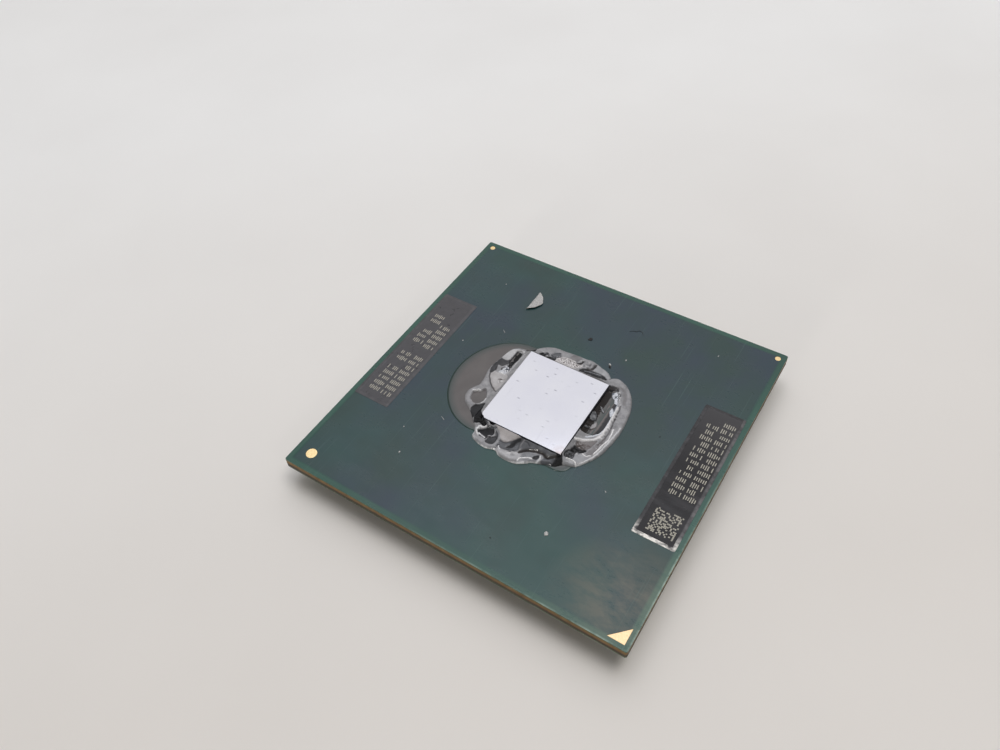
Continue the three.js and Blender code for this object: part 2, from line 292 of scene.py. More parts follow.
# Sawn glass-epoxy: amber resin with pale glass bundles in layers, dull and a little ragged.
def makeLaminate():
    material, tree, shader, place = newMaterial("sawnGlassEpoxy", {"Roughness": 0.62})
    layers = addNode(tree, "ShaderNodeTexNoise", {"Vector": addNode(tree, "ShaderNodeMapping",
            {0: place, "Scale": (0.12, 0.12, 1)}), "Scale": 1 / (0.10 * mm), "Detail": 2})
    strands = addNode(tree, "ShaderNodeTexNoise", {"Vector": addNode(tree, "ShaderNodeMapping",
            {0: place, "Scale": (1, 1, 0.6)}), "Scale": 1 / substrate["weave"], "Detail": 3})
    tone = addNode(tree, "ShaderNodeMix", {"data_type": "RGBA",
            0: addNode(tree, "ShaderNodeMapRange", {0: layers, 1: 0.35, 2: 0.65}), 6: linear("#6b4f28"),
            7: linear("#8a6a38")})
    tone = addNode(tree, "ShaderNodeMix", {"data_type": "RGBA",
            0: addNode(tree, "ShaderNodeMapRange", {0: strands, 1: 0.58, 2: 0.75, 3: 0, 4: 0.5}), 6: tone,
            7: linear("#9b8458")})
    tone = addNode(tree, "ShaderNodeMix", {"data_type": "RGBA",
            0: addNode(tree, "ShaderNodeMapRange", {0: strands, 1: 0.42, 2: 0.25, 3: 0, 4: 0.7}), 6: tone,
            7: linear("#47361c")})
    split = addNode(tree, "ShaderNodeSeparateXYZ", {0: place})
    low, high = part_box("core_laminate")
    # Painted shade: from a little above its middle the core darkens towards the bottom, near black over its
    # lowest third.
    paintedShadeBelow = addNode(tree, "ShaderNodeMapRange", {0: split.outputs[2], 1: low.z * 0.42 + high.z * 0.58,
            2: low.z * 0.68 + high.z * 0.32, 3: 0, 4: 0.9})
    tone = addNode(tree, "ShaderNodeMix", {"data_type": "RGBA", 0: paintedShadeBelow, 6: tone, 7: linear("#1d1613")})
    addNode(tree, shader, {"Base Color": tone, "Normal": addNode(tree, "ShaderNodeBump",
            {"Height": layers, "Distance": 0.02 * mm, "Strength": 0.6})})
    return material


# Solder mask: a dark green epoxy lacquer, levelled glossy. It is near black-green over copper and
# a clearer green where the copper stops short of the edge.
def makeSolderMask(name):
    material, tree, shader, place = newMaterial(name, {"IOR": 1.47})
    split = addNode(tree, "ShaderNodeSeparateXYZ", {0: place})
    across = addNode(tree, "ShaderNodeMath", {"operation": "MAXIMUM",
            0: addNode(tree, "ShaderNodeMath", {"operation": "ABSOLUTE", 0: split.outputs[0]}),
            1: addNode(tree, "ShaderNodeMath", {"operation": "ABSOLUTE", 0: split.outputs[1]})})
    edge = substrateHalf - substrate["border"]
    border = addNode(tree, "ShaderNodeMapRange", {0: across, 1: edge - 0.12 * mm, 2: edge + 0.1 * mm})
    clouds = addNode(tree, "ShaderNodeTexNoise", {"Vector": place, "Scale": 1 / (11 * mm), "Detail": 2})
    patches = addNode(tree, "ShaderNodeTexNoise", {"Vector": addNode(tree, "ShaderNodeMapping",
            {0: place, "Rotation": (0, 0, 0.6)}), "Scale": 1 / (6 * mm), "Detail": 3})
    over = addNode(tree, "ShaderNodeMix", {"data_type": "RGBA",
            0: addNode(tree, "ShaderNodeMapRange", {0: clouds, 1: 0.38, 2: 0.62}), 6: linear("#0a403b"),
            7: linear("#15303e")})
    over = addNode(tree, "ShaderNodeMix", {"data_type": "RGBA",
            0: addNode(tree, "ShaderNodeMapRange", {0: patches, 1: 0.45, 2: 0.7}), 6: over,
            7: linear("#0d3531")})
    clear = addNode(tree, "ShaderNodeMix", {"data_type": "RGBA",
            0: addNode(tree, "ShaderNodeMapRange", {0: patches, 1: 0.3, 2: 0.7}), 6: linear("#144639"),
            7: linear("#1a5142")})
    tone = addNode(tree, "ShaderNodeMix", {"data_type": "RGBA", 0: border, 6: over, 7: clear})
    hazeAndReflection = addNode(tree, "ShaderNodeTexNoise", {"Vector": addNode(tree, "ShaderNodeMapping",
            {0: place, "Scale": (1.3, 0.6, 1), "Rotation": (0, 0, -0.75)}), "Scale": 1 / (2.1 * mm),
            "Detail": 6, "Roughness": 0.66})
    corner = addNode(tree, "ShaderNodeVectorMath", {"operation": "DISTANCE",
            1: (-14.2 * mm, -15.2 * mm, maskTop), 0: place}).outputs[1]
    rubAndHighlight = addNode(tree, "ShaderNodeMath", {"operation": "MULTIPLY",
            0: addNode(tree, "ShaderNodeMapRange", {0: corner, 1: 6.5 * mm, 2: 0.5 * mm}),
            1: addNode(tree, "ShaderNodeMapRange", {0: hazeAndReflection, 1: 0.42, 2: 0.62, 3: 0.12, 4: 0.8})})
    tone = addNode(tree, "ShaderNodeMix", {"data_type": "RGBA", 0: rubAndHighlight, 6: tone, 7: linear("#6c685a")})
    wornAndHighlight = addNode(tree, "ShaderNodeMath", {"operation": "MULTIPLY", 0: border,
            1: addNode(tree, "ShaderNodeMapRange", {0: corner, 1: 9 * mm, 2: 2 * mm})})
    tone = addNode(tree, "ShaderNodeMix", {"data_type": "RGBA",
            0: addNode(tree, "ShaderNodeMath", {"operation": "MULTIPLY", 0: wornAndHighlight,
            1: addNode(tree, "ShaderNodeMapRange", {0: hazeAndReflection, 1: 0.35, 2: 0.6, 3: 0.2, 4: 0.7})}), 6: tone,
            7: linear("#55705f")})
    rim = addNode(tree, "ShaderNodeMapRange", {0: across, 1: substrateHalf - 0.16 * mm,
            2: substrateHalf - 0.03 * mm})
    chafed = addNode(tree, "ShaderNodeMath", {"operation": "MULTIPLY", 0: rim,
            1: addNode(tree, "ShaderNodeMath", {"operation": "MULTIPLY",
            0: addNode(tree, "ShaderNodeMapRange", {0: corner, 1: 22 * mm, 2: 4 * mm}),
            1: addNode(tree, "ShaderNodeMapRange", {0: hazeAndReflection, 1: 0.42, 2: 0.6, 3: 0.1, 4: 0.9})})})
    tone = addNode(tree, "ShaderNodeMix", {"data_type": "RGBA", 0: chafed, 6: tone, 7: linear("#9fb6a8")})
    scratches = addNode(tree, "ShaderNodeTexNoise", {"Vector": addNode(tree, "ShaderNodeMapping",
            {0: place, "Scale": (0.07, 4.5, 1), "Rotation": (0, 0, 0.5)}), "Scale": 1 / (0.5 * mm),
            "Detail": 1})
    fine = addNode(tree, "ShaderNodeMapRange", {0: scratches, 1: 0.68, 2: 0.8})
    tone = addNode(tree, "ShaderNodeMix", {"data_type": "RGBA", 0: addNode(tree, "ShaderNodeMath",
            {"operation": "MULTIPLY", 0: fine, 1: 0.3}), 6: tone, 7: linear("#4f6e69")})
    addNode(tree, shader, {"Base Color": tone})
    addNode(tree, shader, {"Roughness": addNode(tree, "ShaderNodeMath",
            {"operation": "ADD", 0: addNode(tree, "ShaderNodeMath",
            {"operation": "MULTIPLY", 0: fine, 1: 0.04}),
            1: addNode(tree, "ShaderNodeMapRange", {0: hazeAndReflection, 1: 0.3, 2: 0.75, 3: 0.24, 4: 0.38})})})
    level = addNode(tree, "ShaderNodeBump", {"Height": border, "Distance": -substrate["copperStep"]})
    ripple = addNode(tree, "ShaderNodeTexNoise", {"Vector": place, "Scale": 1 / (2.2 * mm), "Detail": 3})
    level = addNode(tree, "ShaderNodeBump", {"Height": ripple, "Distance": 0.02 * mm, "Strength": 0.35,
            "Normal": level})
    addNode(tree, shader, {"Normal": addNode(tree, "ShaderNodeBump",
            {"Height": fine, "Distance": -0.002 * mm, "Strength": 0.15, "Normal": level})})
    return material


# Build-up resin: thin dull olive layers, seen only as a line at the edge.
buildUpResin = makeGrained("buildUpResin", {"Roughness": 0.5}, 0.15, 3, "#3f5a40", "#6c6b3e")
# Rolled copper, hidden under the lacquer.
rolledCopper = makeGrained("rolledCopper", {"Metallic": 1.0, "Roughness": 0.35}, 0.4, 3,
                           "#b8724a", "#cc8a5e", stretch=(1, 8, 1))
dress("core_laminate", makeLaminate())
for side in ("top", "bottom"):
    dress("build_up_" + side, buildUpResin)
    dress("copper_plane_" + side, rolledCopper)
    dress("solder_mask_" + side, makeSolderMask("solderMask" + side.capitalize()))
print("substrate dressed")


# Immersion gold over nickel: smooth, slightly orange-peeled, warm and bright. The triangle
# takes a darker, rougher copy of it.
gold = makeGrained("immersionGold", {"Metallic": 1.0, "Roughness": 0.22}, 0.12, 4,
                   "#ceb384", "#dcc697", bump=(0.004, 0.5))
triangleGold = makeGrained("triangleGold", {"Metallic": 1.0, "Roughness": 0.3}, 0.12, 4,
                          "#bca07a", "#c9af8a", bump=(0.004, 0.5))
for name in ("fiducial_disc", "fiducial_dot_upper", "fiducial_dot_lower"):
    dress(name, gold)
dress("pin_one_triangle", triangleGold)
print("gold pads dressed")


die = {
    "chip": 0.46 * mm,  # broken off the corner at -X +Y, along these shares of it across and down
    "break": [(1.0, 0.02), (0.52, 0.30), (0.34, 0.72), (0.02, 1.05)],
    "edgeBevel": 0.03 * mm,
}


# Lapped silicon: a mirror with a lavender-grey cast on its back, satin grey on the sawn sides.
def makeSilicon():
    material, tree, shader, place = newMaterial("lappedSilicon", {"Metallic": 1.0})
    up = addNode(tree, "ShaderNodeSeparateXYZ", {0: addNode(tree, "ShaderNodeNewGeometry",
            {}).outputs["Normal"]})
    top = addNode(tree, "ShaderNodeMapRange", {0: up.outputs[2], 1: 0.5, 2: 0.95})
    slanted = addNode(tree, "ShaderNodeMapping", {"Scale": (1.35, 0.62, 0.0), "Rotation": (0, 0, 0.45),
            0: place}).outputs[0]
    cells = addNode(tree, "ShaderNodeTexVoronoi", {"voronoi_dimensions": "2D", "Scale": 1 / (0.95 * mm),
            "Vector": slanted})
    pick = addNode(tree, "ShaderNodeSeparateColor", {0: cells.outputs["Color"]})
    small = addNode(tree, "ShaderNodeMapRange", {0: cells.outputs["Distance"], 1: 0.14, 2: 0.05})
    dust = addNode(tree, "ShaderNodeMath", {"operation": "MULTIPLY", 0: small,
            1: addNode(tree, "ShaderNodeMapRange", {0: pick.outputs[0], 1: 0.55, 2: 1.0})})
    smoke = addNode(tree, "ShaderNodeTexNoise", {"Vector": place, "Scale": 1 / (3 * mm), "Detail": 3})
    face = addNode(tree, "ShaderNodeMix", {"data_type": "RGBA",
            0: addNode(tree, "ShaderNodeMapRange", {0: smoke, 1: 0.3, 2: 0.7}), 6: linear("#bfc0c7"),
            7: linear("#c3c4c9")})
    hairline = addNode(tree, "ShaderNodeTexNoise", {"Vector": addNode(tree, "ShaderNodeMapping",
            {0: place, "Scale": (0.06, 1.8, 1), "Rotation": (0, 0, -1.1)}), "Scale": 1 / (0.25 * mm),
            "Detail": 1})
    face = addNode(tree, "ShaderNodeMix", {"data_type": "RGBA",
            0: addNode(tree, "ShaderNodeMapRange", {0: hairline, 1: 0.70, 2: 0.78, 3: 0, 4: 0.25}),
            6: face, 7: linear("#a5a7b0")})
    face = addNode(tree, "ShaderNodeMix", {"data_type": "RGBA",
            0: addNode(tree, "ShaderNodeMath", {"operation": "MULTIPLY", 0: dust, 1: 0.5}), 6: face,
            7: linear("#6d6f78")})
    corner = addNode(tree, "ShaderNodeVectorMath", {"operation": "DISTANCE",
            1: (dieLow.x, dieLow.y, dieHigh.z), 0: place}).outputs[1]
    stain = addNode(tree, "ShaderNodeMath", {"operation": "MULTIPLY",
            0: addNode(tree, "ShaderNodeMapRange", {0: corner, 1: 1.1 * mm, 2: 0.1 * mm}),
            1: addNode(tree, "ShaderNodeMapRange", {0: addNode(tree, "ShaderNodeTexNoise",
            {"Vector": place, "Scale": 1 / (0.5 * mm), "Detail": 4.0}), 1: 0.35, 2: 0.65, 3: 0.2,
            4: 0.8})})
    face = addNode(tree, "ShaderNodeMix", {"data_type": "RGBA", 0: stain, 6: face, 7: linear("#8f7468")})
    saw = addNode(tree, "ShaderNodeTexNoise", {"Vector": addNode(tree, "ShaderNodeMapping",
            {0: place, "Scale": (0.15, 0.15, 1)}), "Scale": 1 / (0.05 * mm), "Detail": 3})
    side = addNode(tree, "ShaderNodeMix", {"data_type": "RGBA",
            0: addNode(tree, "ShaderNodeMapRange", {0: saw, 1: 0.3, 2: 0.7}), 6: linear("#55555c"),
            7: linear("#8b8b92")})
    addNode(tree, shader, {"Base Color": addNode(tree, "ShaderNodeMix",
            {"data_type": "RGBA", 0: top, 6: side, 7: face}),
            "Roughness": addNode(tree, "ShaderNodeMapRange", {0: top, 1: 0, 2: 1, 3: 0.42, 4: 0.1}),
            "Normal": addNode(tree, "ShaderNodeBump", {"Height": dust, "Distance": -0.004 * mm,
            "Strength": 0.5})})
    return material


def makeDie():
    chip, bevel = die["chip"], die["edgeBevel"]
    broken = [(dieLow.x + across * chip, dieHigh.y - down * chip) for across, down in die["break"]]
    outline = [(dieLow.x, dieLow.y), (dieHigh.x, dieLow.y), (dieHigh.x, dieHigh.y)] + broken
    made = bmesh.new()
    base = made.faces.new([made.verts.new((x, y, dieLow.z)) for x, y in outline])
    raised = bmesh.ops.extrude_face_region(made, geom=[base])
    lifted = [v for v in raised["geom"] if isinstance(v, bmesh.types.BMVert)]
    bmesh.ops.translate(made, verts=lifted, vec=(0, 0, dieHigh.z - dieLow.z))
    rim = [e for e in made.edges if all(v in lifted for v in e.verts)]
    upright = [e for e in made.edges if abs(e.verts[0].co.z - e.verts[1].co.z) > 1e-6]
    bmesh.ops.bevel(made, geom=rim + upright, offset=bevel, segments=2, profile=0.6, affect="EDGES")
    bmesh.ops.recalc_face_normals(made, faces=made.faces)
    settle(addPiece("polished_die", made, [makeSilicon()]), "silicon", "silicon_die")


makeDie()
print("die made")


underfill = {
    "foot": 1.25 * mm, "lip": 0.26 * mm, "slope": 0.32, "film": 0.05 * mm, "rim": 0.16 * mm, "fade": 0.9,
    "around": 480, "across": 30,
}

compound = {  # millimetres from the die's middle, heights over the solder mask
    "rim": 0.26, "crest": 0.78, "slope": 0.55, "rounding": 0.30, "around": 1000, "across": 56,
    "outline": [
        (-5.9, 4.2), (-6.6, 4), (-6.95, 3.2), (-7.08, 2.3), (-6.85, 1.35), (-7.15, 0.8), (-7.27, 0),
        (-7.15, -1), (-6.7, -1.8), (-6.35, -2.2), (-6.1, -2.9), (-5.85, -3.6), (-5.65, -4.3),
        (-5.1, -4.9), (-4.75, -5.8), (-4, -6.4), (-3, -7), (-2, -7.35), (-0.5, -7.58), (0.7, -7.65),
        (2, -7.55), (3.5, -7.3), (4.8, -6.75), (5.8, -5.9), (6.3, -5), (6.35, -4.4), (6.1, -3.95),
        (6.6, -3.3), (6.95, -2.2), (7.2, -1.3), (7.12, -0.8), (7.1, 0.3), (7, 1.5), (6.9, 2.7),
        (6.6, 3.5), (6.1, 4.1), (5.4, 4.7), (5.15, 5.1), (4.95, 6.1), (4.3, 6.6), (3.2, 6.85), (2, 7.1),
        (1, 7.15), (0, 6.95), (-1, 6.85), (-1.5, 7.1), (-2.2, 7.4), (-2.8, 7.35), (-3.5, 6.9), (-4, 6.1),
        (-4.7, 5.3)],
    # Patches: outline, softness of its edge, depth, tone, warmth. The tone is partly the paste's own and
    # partly painted light, painted shade in the dark hollows and painted reflection on the pale glossy
    # lobes.
    "patches": [
        ([(-6.28, 1.5), (-5.8, 1.54), (-5.7, 0.83), (-5.23, 0.38), (-4.72, -0.04), (-4.52, -0.34),
          (-4.72, -0.59), (-5.31, -0.51), (-5.84, -0.56), (-6.23, -0.05), (-6.43, 0.75)],
          0.12, 0.1, 0.34, 0),
        ([(-6.16, 0.53), (-5.87, 0.47), (-5.34, 0.22), (-4.81, -0.14), (-5.03, -0.38), (-5.34, -0.07),
          (-5.78, 0.02)], 0.08, 0.05, 0.1, 0),
        ([(-4.48, 2.5), (-4.94, 2.31), (-5.2, 1.88), (-5.62, 1.44), (-5.76, 1), (-5.36, 0.46),
          (-4.9, 0.01), (-4.48, -0.38)], 0.05, -0.03, 0.74, 0.6),
        ([(-5.84, 3.84), (-5.43, 3.4), (-5.04, 3.12), (-5, 2.56), (-5.35, 2.34), (-5.7, 2.33),
          (-5.79, 2.68), (-6.18, 2.8), (-6.25, 3.4)], 0.05, 0.2, 0.09, 0),
        ([(-6.59, 2.52), (-6.12, 2.56), (-5.79, 2.2), (-5.56, 1.83), (-6.12, 1.74), (-6.51, 1.91)],
          0.05, 0.12, 0.2, 0),
        ([(-4.94, 2.49), (-4.84, 2.36), (-5.16, 1.95), (-5.53, 1.76), (-5.58, 1.97), (-5.2, 2.26)],
          0.05, 0.08, 0.33, 0),
        ([(-4.86, 2.99), (-4.58, 3.4), (-4.24, 3.5), (-4.24, 2.5), (-4.73, 2.66)], 0.05, 0.25, 0, 0),
        ([(-5.27, 3.52), (-4.97, 3.4), (-4.75, 3.79), (-4.46, 4.17), (-3.92, 4.73), (-3.26, 4.93),
          (-4.55, 4.99), (-5.25, 4.69), (-5.15, 4.1)], 0.08, 0.2, 0.03, 0),
        ([(-4.76, 5.13), (-4.41, 5.67), (-3.9, 5.9), (-3.4, 5.78), (-3.27, 5.41), (-2.89, 4.96),
          (-3.73, 4.83), (-4.41, 4.89)], 0.06, 0.14, 0.13, 0),
        ([(-1.12, 4.81), (-0.64, 5.66), (0.02, 6.22), (0.63, 6.62), (1.08, 6.42), (1.16, 5.71),
          (1.19, 5.06), (0.52, 4.68)], 0.04, -0.02, 0.72, 0.4),
        ([(0.67, 6.67), (1.37, 7), (2.28, 6.95), (3, 6.73), (2.97, 6.15), (3.12, 5.79), (2.56, 5.74),
          (2.02, 6.15), (1.97, 6.55), (1.37, 6.4)], 0.04, 0.07, 0.2, 0),
        ([(3.17, 5.84), (4.08, 5.84), (4.62, 5.73), (4.56, 5.29), (4.01, 5.12), (3.11, 5.18),
          (2.42, 5.23), (1.87, 5.23), (1.9, 5.56), (2.46, 5.66)], 0.04, 0.22, 0, 0),
        ([(2.98, 6.72), (3.83, 6.67), (4.43, 6.42), (4.72, 5.91), (4.74, 5.17), (4.45, 5.12),
          (4.54, 5.73), (3.92, 5.86), (3.04, 5.91)], 0.04, -0.03, 0.76, 0.1),
        ([(1.13, 6.37), (1.78, 6.52), (1.92, 6.17), (1.52, 5.91), (1.17, 5.81)], 0.05, 0, 0.6, 0.1),
        ([(-6.93, 1.12), (-6.58, 1.11), (-6.48, 0.21), (-6.38, -0.39), (-6.19, -0.89), (-6.68, -1.19),
          (-7.03, -0.59), (-7.13, 0.32)], 0.1, -0.04, 0.68, 0.1),
        ([(-5.62, -0.61), (-4.83, -0.75), (-4.58, -1.18), (-4.58, -4.06), (-5.01, -3.59), (-5.09, -2.58),
          (-5.2, -1.86), (-5.53, -1.12)], 0.1, -0.02, 0.46, 0),
        ([(-6.58, -1.29), (-5.94, -1.2), (-5.53, -1.92), (-5.4, -2.83), (-5.9, -2.8), (-6.28, -2.19)],
          0.08, 0, 0.52, 0),
        ([(-6, -2.17), (-5.67, -2.28), (-5.49, -2.59), (-5.9, -2.57)], 0.06, 0.08, 0.12, 0),
        ([(-5.98, -2.99), (-5.43, -3.12), (-5.11, -3.96), (-5.35, -4.23), (-5.79, -4.1), (-5.98, -3.59)],
          0.1, 0.02, 0.34, 0),
        ([(-5.82, -4.1), (-5.29, -4.09), (-4.99, -4.05), (-4.64, -4.16), (-4.63, -4.52), (-5.18, -4.79),
          (-5.54, -4.67)], 0.08, 0.15, 0.04, 0),
        ([(-5.15, -4.93), (-4.77, -4.64), (-4.58, -4.68), (-4.39, -5.6), (-4.58, -5.89), (-5, -5.4)],
          0.06, -0.02, 0.62, 0),
        ([(-4.38, -4.25), (-2.3, -4.25), (-1.78, -4.94), (-2.71, -4.85), (-3.49, -4.6), (-4.26, -4.44)],
          0.06, -0.02, 0.58, 0.1),
        ([(-4.47, -4.54), (-3.77, -4.54), (-3.5, -5.1), (-4.28, -5.19)], 0.06, 0.08, 0.3, 0),
        ([(-4.37, -5.31), (-3.52, -5.26), (-3.29, -5.79), (-3.28, -6.49), (-3.98, -6.19), (-4.39, -5.79)],
          0.06, 0, 0.62, 0),
        ([(-3.59, -4.77), (-2.98, -4.82), (-2.63, -5.36), (-2.8, -5.95), (-3.21, -5.65)],
          0.06, 0.14, 0.07, 0),
        ([(-2.85, -4.93), (-2.28, -4.84), (-1.87, -5.49), (-1.35, -6.28), (-1.95, -6.18), (-2.65, -5.88)],
          0.08, 0.05, 0.4, 0.4),
        ([(-3.06, -6.08), (-2.36, -6.18), (-1.46, -6.48), (-0.56, -6.73), (-1.16, -6.93), (-2.16, -6.78),
          (-2.96, -6.48)], 0.07, 0.03, 0.48, 0.25),
        ([(-1.11, -4.26), (-0.12, -4.11), (4.37, -4.11), (4.93, -4.41), (5.18, -5.03), (4.5, -5.47),
          (3.8, -5.82), (2.69, -6.02), (0.68, -6.12), (-0.42, -6.02), (-0.97, -5.42)],
          0.08, 0.3, 0.2, 0.1),
        ([(-1.2, -4.42), (-0.28, -4.29), (4.09, -4.29), (4.3, -4.97), (2.58, -5.11), (0.17, -5.06),
          (-0.85, -4.97)], 0.05, 0.05, 0, 0.1),
        ([(-0.64, -5.12), (0.58, -5.31), (2.18, -5.26), (3.46, -5.17), (3.4, -5.55), (1.01, -5.67),
          (-0.49, -5.6)], 0.07, -0.04, 0.33, 0.45),
        ([(-0.49, -5.69), (1.01, -5.71), (2.41, -5.6), (3.41, -5.6), (3.22, -5.94), (1.82, -6.01),
          (0.02, -6.07)], 0.05, 0, 0.16, 0),
        ([(0.5, -4.52), (0.98, -4.37), (1.45, -4.42), (1.37, -4.81), (0.72, -4.96)], 0.03, -0.14, 0.5, 0),
        ([(-0.34, -4.94), (0.32, -4.99), (0.67, -5.21), (0.19, -5.38), (-0.29, -5.17)],
          0.03, -0.12, 0.62, 0.3),
        ([(1.91, -5.14), (2.28, -4.73), (2.44, -4.7), (2.28, -5.03), (2.07, -5.21)], 0.03, -0.12, 0.6, 0),
        ([(-0.54, -4.52), (-0.38, -4.44), (-0.28, -4.81), (-0.43, -4.81)], 0.03, -0.12, 0.42, 0),
        ([(4.25, -4.41), (4.68, -4.58), (4.97, -5.04), (4.69, -5), (4.42, -4.66)], 0.04, 0.1, 0, 0),
        ([(3.52, -5.94), (4.31, -5.65), (4.82, -5.21), (4.49, -4.9), (4.08, -5.03), (3.89, -5.36),
          (3.55, -5.5)], 0.05, -0.06, 0.95, -0.5),
        ([(1.87, -5.99), (2.31, -5.65), (2.91, -5.6), (2.72, -5.84), (2.32, -6.04)],
          0.04, -0.05, 0.93, -0.5),
        ([(4.35, -5.53), (4.54, -5.43), (4.65, -5.58), (4.46, -5.73)], 0.03, 0.06, 0.05, 0),
        ([(1.17, 6.02), (1.62, 5.86), (2.12, 5.76), (2.25, 5.5), (1.77, 5.23), (1.18, 5.29)],
          0.05, -0.03, 0.8, -0.3),
        ([(1.69, 5.53), (1.99, 5.58), (2.02, 5.37), (1.72, 5.31)], 0.03, 0.05, 0.1, -0.2),
        ([(4.77, 3.61), (5.49, 3.57), (5.36, 3.11), (4.77, 3.06)], 0.05, 0.12, 0.05, 0),
        ([(5.41, 3.25), (5.82, 3.19), (5.65, 2.88), (5.41, 3)], 0.05, 0.1, 0.12, 0),
        ([(4.77, 2.86), (5.29, 2.69), (5.61, 2.19), (5.29, 1.89), (4.77, 1.97)], 0.05, 0.12, 0.1, 0),
        ([(5.59, 2.7), (6.24, 2.42), (6.35, 1.93), (5.93, 1.72), (5.47, 2.08)], 0.12, 0.03, 0.42, 0),
        ([(4.79, 1.77), (5.68, 1.79), (6.12, 1.31), (6.17, 0.51), (6.01, -0.29), (5.96, -0.85),
          (5.44, -0.53), (4.79, 0.04)], 0.08, -0.05, 0.8, 0.5),
        ([(6.17, 0.71), (6.83, 0.72), (6.98, 0.02), (6.73, -0.29), (6.27, -0.09)],
          0.08, -0.02, 0.48, 0.25),
        ([(5.91, -0.95), (6.63, -0.69), (7.03, -0.99), (6.73, -1.59), (6.22, -1.49)],
          0.08, -0.05, 0.6, 0.1),
        ([(5.14, -0.83), (5.67, -0.96), (5.84, -1.56), (5.89, -2.76), (5.67, -3.47), (5.43, -3.49),
          (5.22, -2.02)], 0.06, 0.12, 0.12, 0),
        ([(4.65, -1.67), (5.16, -1.67), (5.19, -3.36), (4.65, -3.96)], 0.05, 0, 0.4, 0.2),
        ([(5.96, -2), (6.78, -1.99), (6.53, -3.19), (6.01, -3.89), (5.68, -3.81), (5.91, -2.9)],
          0.1, -0.02, 0.66, 0),
        ([(4.85, 5), (5.13, 5.02), (5.65, 4.33), (5.02, 4.32)], 0.06, 0.1, 0.04, 0),
    ],
    # Holes through to the underfill.
    "holes": [
        ([(-3.24, 6.06), (-2.87, 6.62), (-2.31, 6.82), (-1.86, 6.67), (-1.66, 6.27), (-1.27, 5.94),
          (-1.84, 5.5), (-2.46, 5.28), (-3.04, 5.55)], 0.05),
    ],
    # Grooves: line, half width, depth, tone. The dark tone is painted shade in the crease.
    "shadedGrooves": [
        ([(-6, -0.77), (-5.63, -1.19), (-5.37, -1.71), (-5.21, -2.34), (-5.21, -2.93), (-5.33, -3.22),
          (-5.09, -3.75), (-4.8, -4.21)], 0.12, 0.14, 0.05),
        ([(-1.22, 4.77), (-0.67, 5.67), (-0, 6.28), (0.6, 6.64)], 0.05, 0.07, 0.25),
        ([(-4.7, -0.66), (-4.7, -4.09)], 0.06, 0.12, 0.07),
        ([(-4.55, -4.26), (-2.76, -4.34), (-1.27, -4.34)], 0.04, 0.1, 0.2),
        ([(-4.48, -4.59), (-4.09, -4.55), (-3.66, -4.64), (-3.53, -5.11), (-4.01, -5.25), (-4.32, -5.16)],
          0.04, 0.05, 0.14),
        ([(-4.18, -4.89), (-3.99, -4.85), (-3.81, -4.98)], 0.05, 0.04, 0.14),
        ([(-2.97, -4.93), (-2.61, -5.21), (-2.28, -5.59), (-2.17, -5.98)], 0.04, 0.05, 0.2),
        ([(-1.56, -6.53), (-0.76, -6.73), (0.24, -6.73), (1.24, -6.58), (2.44, -6.43), (3.44, -6.28)],
          0.05, 0.05, 0.32),
        ([(5.84, -1.38), (6.05, -1.73), (6.41, -1.85), (6.72, -1.82)], 0.11, 0.1, 0.1),
        ([(6.04, -0.17), (6.18, -0.47), (6.52, -0.56)], 0.09, 0.12, 0),
        ([(6.29, -3.98), (5.76, -3.9)], 0.05, 0.05, 0.35),
        ([(-6.96, 1.28), (-6.56, 1.38), (-6.17, 1.32)], 0.05, 0.06, 0.4),
        ([(0.32, 5.51), (0.45, 5.3), (0.35, 5.01)], 0.04, 0.05, 0.08),
        ([(1.54, 5.93), (1.79, 5.98), (1.94, 5.83)], 0.05, 0.06, 0.05),
        ([(1.24, 6.43), (1.64, 6.58)], 0.05, 0.05, 0.12),
        ([(4.96, 4.08), (4.86, 0.87), (4.9, -1.11)], 0.06, 0.1, 0.2),
        ([(5.92, 2.51), (6.18, 2.22), (6.34, 1.92)], 0.05, 0.04, 0.25),
        ([(-6.27, 2.77), (-6.03, 2.62), (-5.88, 2.41)], 0.05, 0.05, 0.1),
        ([(-4.9, -0.73), (-4.97, -1.11), (-5.12, -1.37)], 0.05, 0.03, 0.3),
    ],
    # Ridges: line, half width, height, tone, warmth. The pale tone is a painted highlight along the beads
    # and crests.
    "highlightRidges": [
        ([(-7.03, 3.32), (-7.13, 2.42), (-7.03, 1.82), (-6.83, 1.37)], 0.09, 0.1, 1, 0),
        ([(-6.93, 3.52), (-6.48, 4.02), (-5.8, 4.15)], 0.12, 0.06, 0.75, 0),
        ([(-6.14, 2.91), (-6.09, 3.31), (-5.99, 3.66)], 0.06, 0.1, 1, 0.1),
        ([(-6.23, 3.56), (-5.9, 3.95), (-5.49, 3.87), (-5.32, 3.45), (-5.09, 3.25)], 0.08, 0.1, 0.95, 0),
        ([(-6.78, 1.52), (-6.28, 1.51), (-5.71, 1.59), (-5.28, 1.84), (-5.01, 2.28)], 0.08, 0.05, 0.62,
                0),
        ([(-6.58, 0.96), (-6.48, 1.11), (-6.28, 1.26)], 0.05, 0.06, 0.95, 0),
        ([(-6.93, 1.22), (-7.28, 0.62), (-7.35, -0.18), (-7.18, -0.99), (-6.73, -1.69)],
          0.08, 0.1, 0.95, 0),
        ([(-6.83, -1.14), (-6.58, -1.19), (-6.38, -1.44), (-6.19, -1.74), (-6.09, -2.14)],
          0.07, 0.1, 1, 0.05),
        ([(-6.63, -1.89), (-6.33, -2.29), (-6.19, -2.64), (-5.8, -2.8), (-5.53, -2.72)],
          0.07, 0.08, 0.85, 0),
        ([(-6.53, -0.09), (-6.28, -0.34), (-6.19, -0.69)], 0.07, 0.05, 0.78, 0.2),
